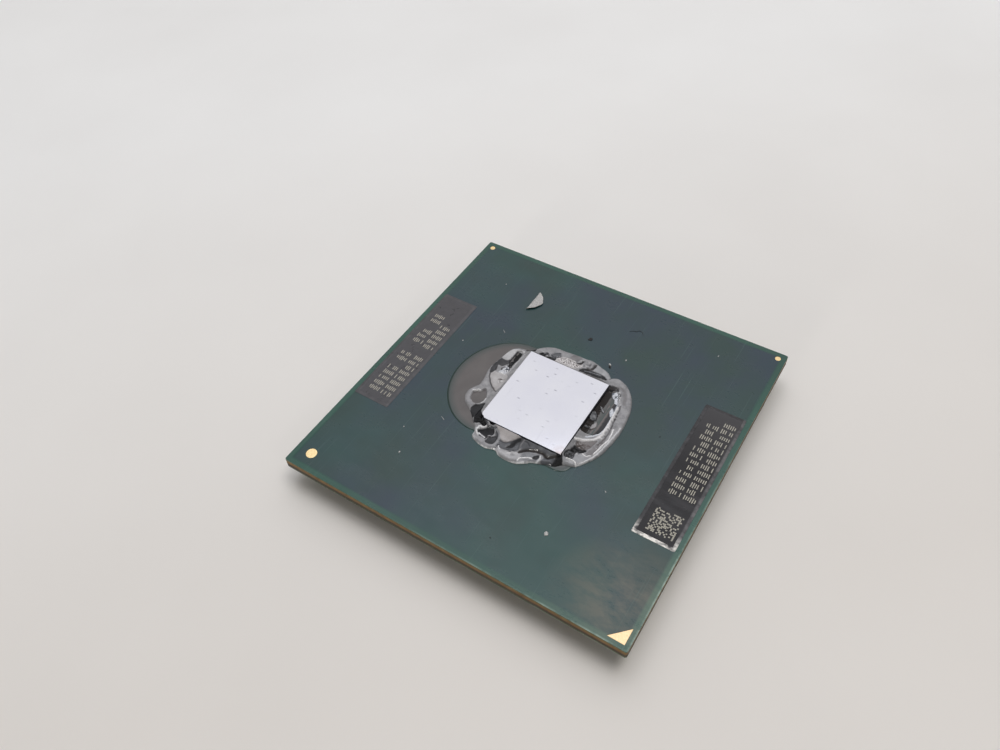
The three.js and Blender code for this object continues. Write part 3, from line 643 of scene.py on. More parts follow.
        ([(-4.52, -4.85), (-4.38, -5.5), (-4.58, -5.84), (-4.73, -5.94)], 0.07, 0.12, 1, 0.1),
        ([(-4.58, -5.99), (-3.88, -6.39), (-3.18, -6.74), (-2.38, -6.99), (-1.37, -7.19), (-0.17, -7.34),
          (1.03, -7.44)], 0.06, 0.06, 0.85, 0),
        ([(-3.28, -5.84), (-3.33, -6.19), (-3.08, -6.49)], 0.05, 0.08, 0.95, 0.1),
        ([(-2.78, -6.69), (-2.18, -6.79), (-1.38, -6.94), (-0.87, -7.09), (-0.37, -7.07), (0.53, -6.97)],
          0.06, 0.1, 1, 0.1),
        ([(-2.35, -4.6), (-1.99, -5.12), (-1.64, -5.6), (-1.28, -5.99), (-0.68, -6.29), (0.32, -6.34),
          (1.22, -6.29), (2.22, -6.19), (3.02, -6.09)], 0.12, 0.12, 0.95, 0.3),
        ([(-1.53, -5.21), (-1.04, -5.69), (-0.53, -6.07), (0.42, -6.19), (1.32, -6.19), (2.32, -6.07),
          (3.12, -5.94), (3.62, -5.89)], 0.06, 0.08, 1, -0.6),
        ([(3.62, -5.94), (4.12, -5.74), (4.6, -5.5), (4.82, -5.21)], 0.1, 0.08, 0.75, 0),
        ([(3.73, -6.44), (4.43, -6.19), (5.02, -5.79), (5.29, -5.2)], 0.18, 0.04, 0.5, 0.2),
        ([(-2.03, 6.87), (-1.73, 6.52), (-1.63, 6.22)], 0.05, 0.05, 0.95, 0),
        ([(-3.01, 5.34), (-2.63, 5.17), (-2.33, 5.23)], 0.04, 0.05, 0.85, 0),
        ([(1.13, 5.29), (1.16, 5.71), (1.35, 5.55), (1.69, 5.34)], 0.05, 0.06, 0.92, 0),
        ([(1.26, 5.17), (1.83, 5.03), (2.63, 5.03), (4.28, 4.88)], 0.05, 0.06, 0.72, 0.1),
        ([(0.14, 5.06), (0.3, 5.12), (0.19, 4.88)], 0.05, 0.05, 0.85, 0.2),
        ([(6.12, -0.14), (6.48, -0.24), (6.68, -0.49)], 0.04, 0.05, 0.72, 0.1),
        ([(6.22, 0.86), (6.53, 0.91), (6.93, 0.77)], 0.04, 0.04, 0.6, 0.1),
        ([(-4.72, 3.79), (-4.83, 3.42), (-5.09, 3.2), (-4.98, 2.57)], 0.06, 0.06, 0.4, 0),
        ([(5.57, -1.22), (5.74, -1.9), (5.85, -3)], 0.05, 0.04, 0.5, 0),
    ],
    # Crumbs: middle, radii, turn in degrees, height, grain size, tone swing. The tone swings with the
    # lumps' height, partly the crumbs' own grain and partly painted light, paler on the tops and darker in
    # the dips.
    "crumbs": [
        ((5.63, 0.69), (0.48, 1.5), 0, 0.14, 0.15, 0.75),
        ((2.1, 5.45), (0.9, 0.38), 5, 0.1, 0.16, 0.5),
        ((4.29, -5.36), (0.7, 0.5), 35, 0.16, 0.18, 0.7),
        ((2.42, -5.84), (0.6, 0.2), 25, 0.1, 0.16, 0.5),
        ((1.02, -4.68), (1.9, 0.4), 0, 0.08, 0.22, 0.2),
        ((5.38, -2.33), (0.3, 1.2), 0, 0.05, 0.14, 0.25),
        ((-2.92, -5.31), (0.8, 0.7), 0, 0.08, 0.16, 0.35),
        ((0.3, 5.12), (0.4, 0.3), 0, 0.06, 0.14, 0.4),
        ((5.44, 2.87), (0.4, 0.9), 0, 0.08, 0.18, 0.35),
        ((6.32, -1.09), (0.5, 0.6), 0, 0.06, 0.25, 0.3),
        ((-4.9, 4.14), (0.6, 0.6), 0, 0.08, 0.15, 0.2),
        ((-3.99, -4.9), (0.4, 0.35), 0, 0.05, 0.16, 0.3),
        ((-6.38, -0.19), (0.4, 0.7), 0, 0.05, 0.25, 0.2),
        ((0.23, -6.49), (2.6, 0.25), 2, 0.06, 0.2, 0.3),
    ],
}


def ringMesh(name, inner, outer, across, height, material):
    # A closed ring between two loops, its top lifted by height(x, y, share outwards, width).
    count = len(inner)
    share = np.linspace(0, 1, across)[None, :]
    width = np.hypot(*(outer - inner).T)[:, None]
    x = inner[:, :1] * (1 - share) + outer[:, :1] * share
    y = inner[:, 1:] * (1 - share) + outer[:, 1:] * share
    z, extras = height(x, y, share, width)
    bottom = np.full((count, 2), 0.01)
    xs = np.hstack([x, outer[:, :1], inner[:, :1]])
    ys = np.hstack([y, outer[:, 1:], inner[:, 1:]])
    zs = np.hstack([z, bottom])
    columns = across + 2
    vertices = np.stack([xs, ys, zs], -1).reshape(-1, 3) * mm + np.array([0, 0, maskTop])
    i = np.arange(count)[:, None]
    j = np.arange(columns)[None, :]
    here, nextRow = i * columns, ((i + 1) % count) * columns
    ahead = (j + 1) % columns
    faces = np.stack([here + j, here + ahead, nextRow + ahead, nextRow + j], -1).reshape(-1, 4)
    piece = addMesh(name, vertices, faces, [material])
    for key, values in extras.items():
        filled = np.hstack([values, np.repeat(values[:, -1:], 2, 1)])
        layer = piece.data.attributes.new(key, "FLOAT", "POINT")
        layer.data.foreach_set("value", filled.ravel().astype(np.float32))
    return piece


def dieLoop(angles, reach):  # the die's outline grown by reach, by direction from its middle, in mm
    halfX, halfY = dieHigh.x / mm + reach, dieHigh.y / mm + reach
    c, s = np.cos(angles), np.sin(angles)
    scale = np.minimum(halfX / np.maximum(np.abs(c), 1e-9), halfY / np.maximum(np.abs(s), 1e-9))
    return np.stack([c * scale, s * scale], -1)


def loopByAngle(points, angles):  # the loop's point in each direction from the middle
    dense = smoothPath(points, 24, closed=True)
    bearing = np.unwrap(np.arctan2(dense[:, 1], dense[:, 0]))
    radius = np.hypot(dense[:, 0], dense[:, 1])
    order = np.argsort(np.mod(bearing, 2 * np.pi))
    found = np.interp(angles, np.mod(bearing, 2 * np.pi)[order], radius[order], period=2 * np.pi)
    return np.stack([np.cos(angles) * found, np.sin(angles) * found], -1)


def ellipseField(x, y, centre, radii, turn):  # 0 in the middle, 1 on the rim
    a = math.radians(turn)
    dx, dy = x - centre[0], y - centre[1]
    return np.hypot((dx * math.cos(a) + dy * math.sin(a)) / radii[0],
                    (dy * math.cos(a) - dx * math.sin(a)) / radii[1])


def patchField(x, y, points, softness):  # 1 inside the rounded outline, 0 outside
    path = smoothPath(points, 5, closed=True)
    path = np.vstack([path, path[:1]])
    inside = np.zeros(x.shape, bool)
    for (ax, ay), (bx, by) in zip(path[:-1], path[1:]):
        if ay != by:
            inside ^= ((ay > y) != (by > y)) & (x < (bx - ax) * (y - ay) / (by - ay) + ax)
    distance = pathDistance(x, y, path)
    return smoothStep(-softness, softness, np.where(inside, distance, -distance))


def fromDie(x, y):
    return np.hypot(np.maximum(np.abs(x) - dieHigh.x / mm, 0), np.maximum(np.abs(y) - dieHigh.y / mm, 0))


def underfillHeight(outwards):
    fillet = (underfill["lip"] / mm) * np.exp(-(outwards / underfill["slope"]) ** 1.4)
    return fillet + underfill["film"] / mm


# The tone attribute mixes the paste's own tone with painted light: painted shade in the hollows and
# grooves, painted highlights on the ridges, and a tone that rises with the height in the wobble and the
# crumbs.
def compoundSurface(x, y, share, width):
    inwards = (1 - share) * width
    outwards = fromDie(x, y)
    wobble = noiseField(x, y, 0.55, 3.1)
    fineWobble = noiseField(x, y, 0.16, 7.7)
    rise = np.exp(-(outwards / compound["slope"]) ** 1.3)
    z = compound["rim"] + (compound["crest"] - compound["rim"]) * rise
    z = z + (0.03 * wobble + 0.008 * fineWobble) * (1 - rise)
    tone = 0.60 + 0.10 * wobble + 0.05 * fineWobble
    warmth = np.full(x.shape, 0.12)
    crumble = np.zeros(x.shape)
    warpX = x + 0.05 * noiseField(x, y, 0.35, 5.5) + 0.02 * fineWobble
    warpY = y + 0.05 * noiseField(x, y, 0.35, 9.3) + 0.02 * fineWobble
    # Painted shade and reflection: each patch sets its tone, dark in the hollows and pale on the glossy
    # lobes.
    for points, softness, depth, shade, warm in compound["patches"]:
        w = patchField(warpX, warpY, points, softness)
        z = z - depth * w
        tone = tone * (1 - w) + (shade + 0.07 * wobble) * w
        warmth = warmth * (1 - w) + warm * w
    # Painted shade: each groove darkens along its line.
    for points, half, depth, shade in compound["shadedGrooves"]:
        w = np.exp(-(pathDistance(warpX, warpY, smoothPath(points, 6)) / half) ** 2)
        z = z - depth * w
        tone = tone * (1 - w) + shade * w
    # Painted highlight: each ridge pales along its line, widened past its rise.
    for points, half, height, shade, warm in compound["highlightRidges"]:
        w = np.exp(-(pathDistance(warpX, warpY, smoothPath(points, 6)) / half) ** 2)
        z = z + height * w
        w = np.clip(1.6 * w, 0, 1)
        tone = tone * (1 - w) + shade * w
        warmth = warmth * (1 - w) + warm * w
    # Partly painted light: the tone follows the lumps, paler on their tops and darker in the dips.
    for index, (centre, radii, turn, height, grain, swing) in enumerate(compound["crumbs"]):
        w = 1 - smoothStep(0.7, 1.15, ellipseField(warpX, warpY, centre, radii, turn))
        lumps = noiseField(x, y, grain, 20.0 + index)
        z = z + height * w * lumps
        tone = tone + swing * lumps * w
        crumble = np.maximum(crumble, w)
    z = np.clip(z, underfillHeight(outwards) + 0.012, 0.82)
    for points, softness in compound["holes"]:
        z = z * (1 - patchField(warpX, warpY, points, softness))
    bead = np.clip(inwards / compound["rounding"], 0, 1)
    z = 0.012 + np.maximum(z - 0.012, 0) * np.sqrt(np.clip(1 - (1 - bead) ** 2, 0, 1))
    return z, {"tone": np.clip(tone, 0, 1), "warmth": warmth, "crumble": crumble}


# Old thermal compound: silver-filled silicone paste, dried glossy where it is thin and crumbly where
# it tore as the cooler came off.
def makeCompoundMaterial():
    material, tree, shader, place = newMaterial("driedThermalPaste", {"IOR": 1.4})
    tone = addNode(tree, "ShaderNodeAttribute", {"attribute_name": "tone"}).outputs["Fac"]
    warmth = addNode(tree, "ShaderNodeAttribute", {"attribute_name": "warmth"}).outputs["Fac"]
    crumble = addNode(tree, "ShaderNodeAttribute", {"attribute_name": "crumble"}).outputs["Fac"]
    # The ramp's dark end shows the painted shade and its white end the painted highlights.
    ramp = addNode(tree, "ShaderNodeValToRGB", {0: tone})
    stops = ramp.color_ramp.elements
    stops[0].position, stops[0].color = 0.0, linear("#0b0b0c")
    stops[1].position, stops[1].color = 1.0, linear("#fdfdfe")
    for position, shade in ((0.2, "#292a2d"), (0.45, "#64666a"), (0.65, "#a3a4a7"), (0.85, "#dbdcde")):
        stop = stops.new(position)
        stop.color = linear(shade)
    grain = addNode(tree, "ShaderNodeTexNoise", {"Vector": place, "Scale": 1 / (0.08 * mm), "Detail": 3})
    warm = addNode(tree, "ShaderNodeMix", {"data_type": "RGBA",
            0: addNode(tree, "ShaderNodeMath", {"operation": "MULTIPLY", 0: warmth, 1: 0.45}),
            6: ramp.outputs[0], 7: linear("#b09a8c")})
    cool = addNode(tree, "ShaderNodeMix", {"data_type": "RGBA",
            0: addNode(tree, "ShaderNodeMath", {"operation": "MULTIPLY", 0: warmth, 1: -0.6}), 6: warm,
            7: linear("#93a5c0")})
    mottled = addNode(tree, "ShaderNodeMix", {"data_type": "RGBA",
            0: addNode(tree, "ShaderNodeMapRange", {0: grain, 1: 0.35, 2: 0.65, 3: 0, 4: 0.2}), 6: cool,
            7: linear("#4b4c50")})
    addNode(tree, shader, {"Base Color": mottled})
    dull = addNode(tree, "ShaderNodeMath", {"operation": "MAXIMUM",
            0: addNode(tree, "ShaderNodeMapRange", {0: crumble, 1: 0, 2: 1, 3: 0.15, 4: 0.55}),
            1: addNode(tree, "ShaderNodeMapRange", {0: tone, 1: 0.3, 2: 0.05, 3: 0.15, 4: 0.8})})
    addNode(tree, shader, {"Roughness": dull, "Normal": addNode(tree, "ShaderNodeBump",
            {"Height": grain, "Distance": 0.008 * mm, "Strength": 0.35})})
    return material


def makeCompound():
    count = compound["around"]
    angles = np.linspace(0, 2 * np.pi, count, endpoint=False)
    outer = loopByAngle(compound["outline"], angles)
    piece = ringMesh("thermal_compound", dieLoop(angles, 0.04), outer, compound["across"],
                     compoundSurface, makeCompoundMaterial())
    return settle(piece, "thermal_compound", "thermal_compound_ring")


def underfillSurface(x, y, share, width):
    toEdge = np.clip((1 - share) * width / (underfill["rim"] / mm), 0, 1)
    edge = np.sqrt(np.clip(1 - (1 - toEdge) ** 2, 0, 1))
    lip = 0.014 * np.exp(-((toEdge - 0.9) / 0.5) ** 2)
    thin = 1 - np.clip((1 - share) * width / underfill["fade"], 0, 1) + 0 * x
    return 0.011 + (underfillHeight(fromDie(x, y)) + lip - 0.011) * edge, {"thin": thin}


# Underfill: capillary epoxy loaded with silica, grey-brown, cured smooth and glossy.
def makeUnderfillMaterial():
    material, tree, shader, place = newMaterial("silicaUnderfill", {"IOR": 1.55, "Roughness": 0.28})
    cloud = addNode(tree, "ShaderNodeTexNoise", {"Vector": place, "Scale": 1 / (1.8 * mm), "Detail": 3})
    tone = addNode(tree, "ShaderNodeMix", {"data_type": "RGBA",
            0: addNode(tree, "ShaderNodeMapRange", {0: cloud, 1: 0.3, 2: 0.7}), 6: linear("#4a4543"),
            7: linear("#575250")})
    thin = addNode(tree, "ShaderNodeAttribute", {"attribute_name": "thin"}).outputs["Fac"]
    tone = addNode(tree, "ShaderNodeMix", {"data_type": "RGBA",
            0: addNode(tree, "ShaderNodeMapRange", {0: thin, 1: 0.0, 2: 0.9}), 6: tone,
            7: linear("#1d3330")})
    tone = addNode(tree, "ShaderNodeMix", {"data_type": "RGBA",
            0: addNode(tree, "ShaderNodeMapRange", {0: thin, 1: 0.9, 2: 0.95, 3: 0, 4: 0.5}), 6: tone,
            7: linear("#4c6159")})
    addNode(tree, shader, {"Base Color": tone, "Normal": addNode(tree, "ShaderNodeBump",
            {"Height": addNode(tree, "ShaderNodeTexNoise",
            {"Vector": place, "Scale": 1 / (0.3 * mm), "Detail": 4.0}), "Distance": 0.004 * mm,
            "Strength": 0.3})})
    return material


def makeUnderfill():
    low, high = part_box("underfill")
    angles = np.linspace(0, 2 * np.pi, underfill["around"], endpoint=False)
    foot = underfill["foot"] / mm
    outer = dieLoop(angles, foot)
    cornerX, cornerY = dieHigh.x / mm, dieHigh.y / mm
    for k, (x, y) in enumerate(outer):  # round the foot's corners about the die's own
        if abs(x) > cornerX and abs(y) > cornerY:
            away = Vector((abs(x) - cornerX, abs(y) - cornerY))
            away *= foot / away.length
            outer[k] = (math.copysign(cornerX + away.x, x), math.copysign(cornerY + away.y, y))
    tongueMiddle, halfWidth = cornerY + 0.25, high.x / mm
    reach = high.y / mm - tongueMiddle
    for k, (c, s) in enumerate(np.stack([np.cos(angles), np.sin(angles)], -1)):
        if s > 0:  # the tongue, a half ellipse, where it reaches further out than the foot
            a = (c / halfWidth) ** 2 + (s / reach) ** 2
            b = -2 * s * tongueMiddle / reach ** 2
            root = b * b - 4 * a * ((tongueMiddle / reach) ** 2 - 1)
            if root > 0:
                far = (-b + math.sqrt(root)) / (2 * a)
                if far * s > tongueMiddle and far > np.hypot(*outer[k]):
                    outer[k] = (far * c, far * s)
    piece = ringMesh("underfill_fillet", dieLoop(angles, 0.02), outer, underfill["across"],
                     underfillSurface, makeUnderfillMaterial())
    return settle(piece, "underfill", "underfill")


makeUnderfill()
makeCompound()
print("underfill and compound made")


panel = {"bevelWidth": 0.3, "crest": 0.043, "crown": 0.036, "corner": 0.14, "mottle": 0.6 * mm}


# Marking ink: a screen-printed black epoxy block, levelled glossy on top. Its sloping rim is paler
# and duller. The lower block's rim has a painted highlight at its -X end and along its front edge, and its
# top a painted reflection.
def makeInk(name, low, high, polish, ior, paintedLight):
    material, tree, shader, place = newMaterial(name, {"IOR": ior})
    mottle = addNode(tree, "ShaderNodeTexNoise", {"Vector": place, "Scale": 1 / panel["mottle"],
            "Detail": 4})
    tone = addNode(tree, "ShaderNodeMix", {"data_type": "RGBA",
            0: addNode(tree, "ShaderNodeMapRange", {0: mottle, 1: 0.3, 2: 0.7}), 6: linear(low),
            7: linear(high)})
    split = addNode(tree, "ShaderNodeSeparateXYZ", {0: place})
    if paintedLight == "end":
        patchy = addNode(tree, "ShaderNodeTexNoise", {"Vector": addNode(tree, "ShaderNodeMapping",
                {0: place, "Scale": (1.6, 1, 1)}), "Scale": 1 / (0.9 * mm), "Detail": 4})
        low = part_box("marking_panel_lower")[0]
        # Painted highlight: the rim's front edge, towards -Y, paler in patches.
        front = addNode(tree, "ShaderNodeMapRange", {0: split.outputs[1], 1: low.y + 0.34 * mm,
                2: low.y + 0.2 * mm})
        wornAndHighlight = addNode(tree, "ShaderNodeMath", {"operation": "MULTIPLY", 0: front,
                1: addNode(tree, "ShaderNodeMapRange", {0: patchy, 1: 0.4, 2: 0.6, 3: 0.2, 4: 0.8})})
        tone = addNode(tree, "ShaderNodeMix", {"data_type": "RGBA", 0: wornAndHighlight, 6: tone,
                7: linear("#6d6b6c")})
        # Painted highlight: the rim's -X end pale, to near white, in patches.
        ends = addNode(tree, "ShaderNodeMapRange", {0: split.outputs[0], 1: low.x + 1.5 * mm,
                2: low.x + 0.25 * mm})
        rubAndHighlight = addNode(tree, "ShaderNodeMath", {"operation": "MULTIPLY", 0: ends,
                1: addNode(tree, "ShaderNodeMapRange", {0: patchy, 1: 0.34, 2: 0.52, 3: 0, 4: 1})})
        tone = addNode(tree, "ShaderNodeMix", {"data_type": "RGBA", 0: rubAndHighlight, 6: tone,
                7: linear("#f2efe8")})
    if paintedLight == "paintedReflection":
        # Painted reflection: the lower block's top is paler towards +X and in streaks.
        paintedReflection = addNode(tree, "ShaderNodeMapRange", {0: split.outputs[0], 1: 0.5 * mm, 2: 7.5 * mm})
        streaks = addNode(tree, "ShaderNodeTexNoise", {"Vector": addNode(tree, "ShaderNodeMapping",
                {0: place, "Scale": (1.6, 0.35, 1), "Rotation": (0, 0, 0.5)}), "Scale": 1 / (1.6 * mm),
                "Detail": 3})
        hazeAndReflection = addNode(tree, "ShaderNodeMath", {"operation": "MAXIMUM", 0: paintedReflection,
                1: addNode(tree, "ShaderNodeMapRange", {0: streaks, 1: 0.5, 2: 0.72, 3: 0, 4: 0.55})})
        tone = addNode(tree, "ShaderNodeMix", {"data_type": "RGBA", 0: hazeAndReflection, 6: tone,
                7: linear("#403f41")})
    addNode(tree, shader, {"Base Color": tone, "Roughness": addNode(tree, "ShaderNodeMapRange",
            {0: mottle, 1: 0.3, 2: 0.7, 3: polish, 4: polish + 0.12}),
            "Normal": addNode(tree, "ShaderNodeBump", {"Height": addNode(tree, "ShaderNodeTexNoise",
            {"Vector": place, "Scale": 1 / (0.25 * mm), "Detail": 3}), "Distance": 0.006 * mm,
            "Strength": 0.4})})
    return material


def roundedLoop(halfX, halfY, radius, steps=8):
    points = []
    for corner in range(4):
        x = (halfX - radius) * (1 if corner in (0, 3) else -1)
        y = (halfY - radius) * (1 if corner < 2 else -1)
        for step in range(steps + 1):
            a = (corner + step / steps) * math.pi / 2
            points.append((x + radius * math.cos(a), y + radius * math.sin(a)))
    return points


def makePanel(name, node, topInk, rimInk):
    low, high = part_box(node)
    middle, half = (low + high) / 2, (high - low) / 2
    # The section from the foot up over the lip, as an inset from the outline and a height, in mm.
    section = [(0, 0.011), (0.012, 0.022), (panel["bevelWidth"] * 0.94, panel["crest"]),
               (panel["bevelWidth"], panel["crest"] + 0.001), (panel["bevelWidth"] * 1.12, panel["crown"])]
    rings = []
    for inset, height in section:
        loop = roundedLoop(half.x / mm - inset, half.y / mm - inset, max(panel["corner"] - inset, 0.02))
        rings.append([(middle.x + x * mm, middle.y + y * mm, maskTop + height * mm) for x, y in loop])
    count = len(rings[0])
    vertices = [v for ring in rings for v in ring]
    faces = [tuple(range(count))[::-1], tuple((len(rings) - 1) * count + i for i in range(count))]
    for level in range(len(rings) - 1):
        for i in range(count):
            following = (i + 1) % count
            faces.append((level * count + i, level * count + following,
                          (level + 1) * count + following, (level + 1) * count + i))
    piece = addMesh(name, vertices, faces, [topInk, rimInk], smooth=False)
    for face in piece.data.polygons:
        face.material_index = 1 if len(face.vertices) == 4 else 0
    return settle(piece, "marking", node)


makePanel("upper_marking_block", "marking_panel_upper",
          makeInk("hazedBlackInk", "#2f2e32", "#3c3b3f", 0.26, 1.5, ""),
          makeInk("hazedInkRim", "#323134", "#4d4c4f", 0.34, 1.5, ""))
makePanel("lower_marking_block", "marking_panel_lower",
          makeInk("glossyBlackInk", "#0b090b", "#171416", 0.16, 1.32, "paintedReflection"),
          makeInk("glossyInkRim", "#1b1a1c", "#3c3b3e", 0.2, 1.4, "end"))
print("marking panels made")


# Each line is a row of plain cells, where real ones carry print: left end, baseline, cells.
marks = {
    "cellPitch": 0.75, "cellWidth": 0.58, "lineHeight": 1.08, "dashes": 6, "dashHeight": 0.085,
    "thickness": 0.007, "lift": 0.0355, "shortest": 0.55, "leftOut": 0.12,  # shares of a dash, and of all
    "lines": [
        {"left": -6.8, "base": 15.05, "cells": 5, "seed": 3},
        {"left": -2.35, "base": 15.05, "cells": 2, "seed": 8},
        {"left": 0.45, "base": 15.05, "cells": 3, "seed": 12},
        {"left": 3.6, "base": 15.05, "cells": 2, "seed": 5},
        {"left": -6.85, "base": 13.6, "cells": 8, "seed": 21},
        {"left": 0.2, "base": 13.6, "cells": 5, "seed": 34},
        {"left": -2.9, "base": -15.1, "cells": 12, "seed": 55},
        {"left": -2.9, "base": -16.5, "cells": 13, "seed": 89},
    ],
    "code": {"left": -7.1, "base": -16.4, "side": 2.5, "dots": 16, "fill": 0.86,
             "leftOut": 0.48, "seed": 7},
}


def markTree(material):
    # A grid of dashes, some of them left out and each cut to its own length.
    tree = bpy.data.node_groups.new("markCells", "GeometryNodeTree")
    for name in ("Columns", "Rows", "Seed"):
        tree.interface.new_socket(name, in_out="INPUT", socket_type="NodeSocketInt")
    for name in ("Pitch X", "Pitch Y", "Width", "Height", "Thickness", "Shortest", "Left out"):
        tree.interface.new_socket(name, in_out="INPUT", socket_type="NodeSocketFloat")
    tree.interface.new_socket("Geometry", in_out="OUTPUT", socket_type="NodeSocketGeometry")
    given = addNode(tree, "NodeGroupInput", {}).outputs
    spanX = addNode(tree, "ShaderNodeMath", {"operation": "MULTIPLY",
            0: addNode(tree, "ShaderNodeMath", {"operation": "SUBTRACT", 1: 1.0,
            0: given["Columns"]}).outputs[0], 1: given["Pitch X"]})
    spanY = addNode(tree, "ShaderNodeMath", {"operation": "MULTIPLY",
            0: addNode(tree, "ShaderNodeMath", {"operation": "SUBTRACT", 1: 1.0,
            0: given["Rows"]}).outputs[0], 1: given["Pitch Y"]})
    grid = addNode(tree, "GeometryNodeMeshGrid", {"Size X": spanX.outputs[0], "Size Y": spanY.outputs[0],
            "Vertices X": given["Columns"], "Vertices Y": given["Rows"]})
    keep = addNode(tree, "FunctionNodeRandomValue", {"data_type": "FLOAT", "Seed": given["Seed"]})
    out = addNode(tree, "FunctionNodeCompare", {"data_type": "FLOAT", "operation": "LESS_THAN",
            0: keep.outputs[1], 1: given["Left out"]})
    kept = addNode(tree, "GeometryNodeDeleteGeometry",
            {"domain": "POINT", 0: grid.outputs[0], 1: out.outputs[0]})
    points = addNode(tree, "GeometryNodeMeshToPoints", {0: kept.outputs[0]})
    size = addNode(tree, "ShaderNodeCombineXYZ", {0: given["Width"], 1: given["Height"],
            2: given["Thickness"]})
    dash = addNode(tree, "GeometryNodeMeshCube", {0: size.outputs[0]})
    nextSeed = addNode(tree, "ShaderNodeMath", {"operation": "ADD", 1: 1.0, 0: given["Seed"]})
    length = addNode(tree, "FunctionNodeRandomValue", {"data_type": "FLOAT", 3: 1.0, 2: given["Shortest"],
            "Seed": nextSeed.outputs[0]})
    stretch = addNode(tree, "ShaderNodeCombineXYZ", {1: 1.0, 2: 1.0, 0: length.outputs[1]})
    placed = addNode(tree, "GeometryNodeInstanceOnPoints",
            {"Points": points.outputs[0], "Instance": dash.outputs[0], "Scale": stretch.outputs[0]})
    real = addNode(tree, "GeometryNodeRealizeInstances", {0: placed.outputs[0]})
    dressed = addNode(tree, "GeometryNodeSetMaterial", {"Material": material, 0: real.outputs[0]})
    addNode(tree, "NodeGroupOutput", {0: dressed.outputs[0]})
    return tree


def growNodes(name, tree, inputs, mesh=None):
    # The modifier's result as a plain mesh; inputs are set by identifier before it is evaluated.
    seedMesh = mesh or bpy.data.meshes.new(name + "Seed")
    grower = bpy.data.objects.new(name + "Grower", seedMesh)
    bpy.context.scene.collection.objects.link(grower)
    modifier = grower.modifiers.new("grow", "NODES")
    modifier.node_group = tree
    for item in tree.interface.items_tree:
        if item.in_out == "INPUT" and item.name in inputs:
            modifier[item.identifier] = inputs[item.name]
    graph = bpy.context.evaluated_depsgraph_get()
    grown = bpy.data.meshes.new_from_object(grower.evaluated_get(graph))
    grower.modifiers.remove(modifier)
    bpy.data.objects.remove(grower)
    grown.name = name
    return grown


def makeMarks():
    # Laser mark: the ink burnt back to a pale, matt, slightly warm grey.
    burnt = makeGrained("laserMark", {"Roughness": 0.75}, 0.05, 3, "#9c998d", "#c6c2b5", 0.35)
    tree = markTree(burnt)
    height = maskTop + (marks["lift"] + marks["thickness"] / 2) * mm
    rowPitch = (marks["lineHeight"] - marks["dashHeight"]) / (marks["dashes"] - 1)
    code = marks["code"]
    dotPitch = code["side"] / code["dots"] * mm
    dotSize = dotPitch * code["fill"]
    for node in ("upper", "lower"):
        joined = bmesh.new()
        for line in marks["lines"]:
            if (line["base"] > 0) != (node == "upper"):
                continue
            grown = growNodes("cells", tree, {
                "Columns": line["cells"], "Rows": marks["dashes"], "Pitch X": marks["cellPitch"] * mm,
                "Pitch Y": rowPitch * mm, "Width": marks["cellWidth"] * mm,
                "Height": marks["dashHeight"] * mm, "Thickness": marks["thickness"] * mm,
                "Shortest": marks["shortest"], "Left out": marks["leftOut"], "Seed": line["seed"]})
            middleX = line["left"] + ((line["cells"] - 1) * marks["cellPitch"] + marks["cellWidth"]) / 2
            middleY = line["base"] + marks["lineHeight"] / 2
            grown.transform(Matrix.Translation((middleX * mm, middleY * mm, height)))
            joined.from_mesh(grown)
        if node == "lower":
            grown = growNodes("dots", tree, {
                "Columns": code["dots"], "Rows": code["dots"], "Pitch X": dotPitch, "Pitch Y": dotPitch,
                "Width": dotSize, "Height": dotSize, "Thickness": marks["thickness"] * mm,
                "Shortest": 1.0, "Left out": code["leftOut"], "Seed": code["seed"]})
            centre = code["side"] / 2
            grown.transform(Matrix.Translation(
                ((code["left"] + centre) * mm, (code["base"] + centre) * mm, height)))
            joined.from_mesh(grown)
        settle(addPiece(node + "_marks", joined, [burnt]), "marking")


makeMarks()
print("marks made")


pins = {
    "pitch": 1.27, "perSide": 26, "bay": 14, "diameter": 0.305, "sides": 8, "sharpAngle": 50,
    "headDiameter": 0.56, "headThickness": 0.05, "tipTaper": 0.07, "tipShare": 0.72,
    "solderReach": 0.36, "solderHeight": 0.16, "solderGap": 0.02,
}
pinNodes = [name for name in nodes if name.startswith(("pin_row", "pin_column"))]


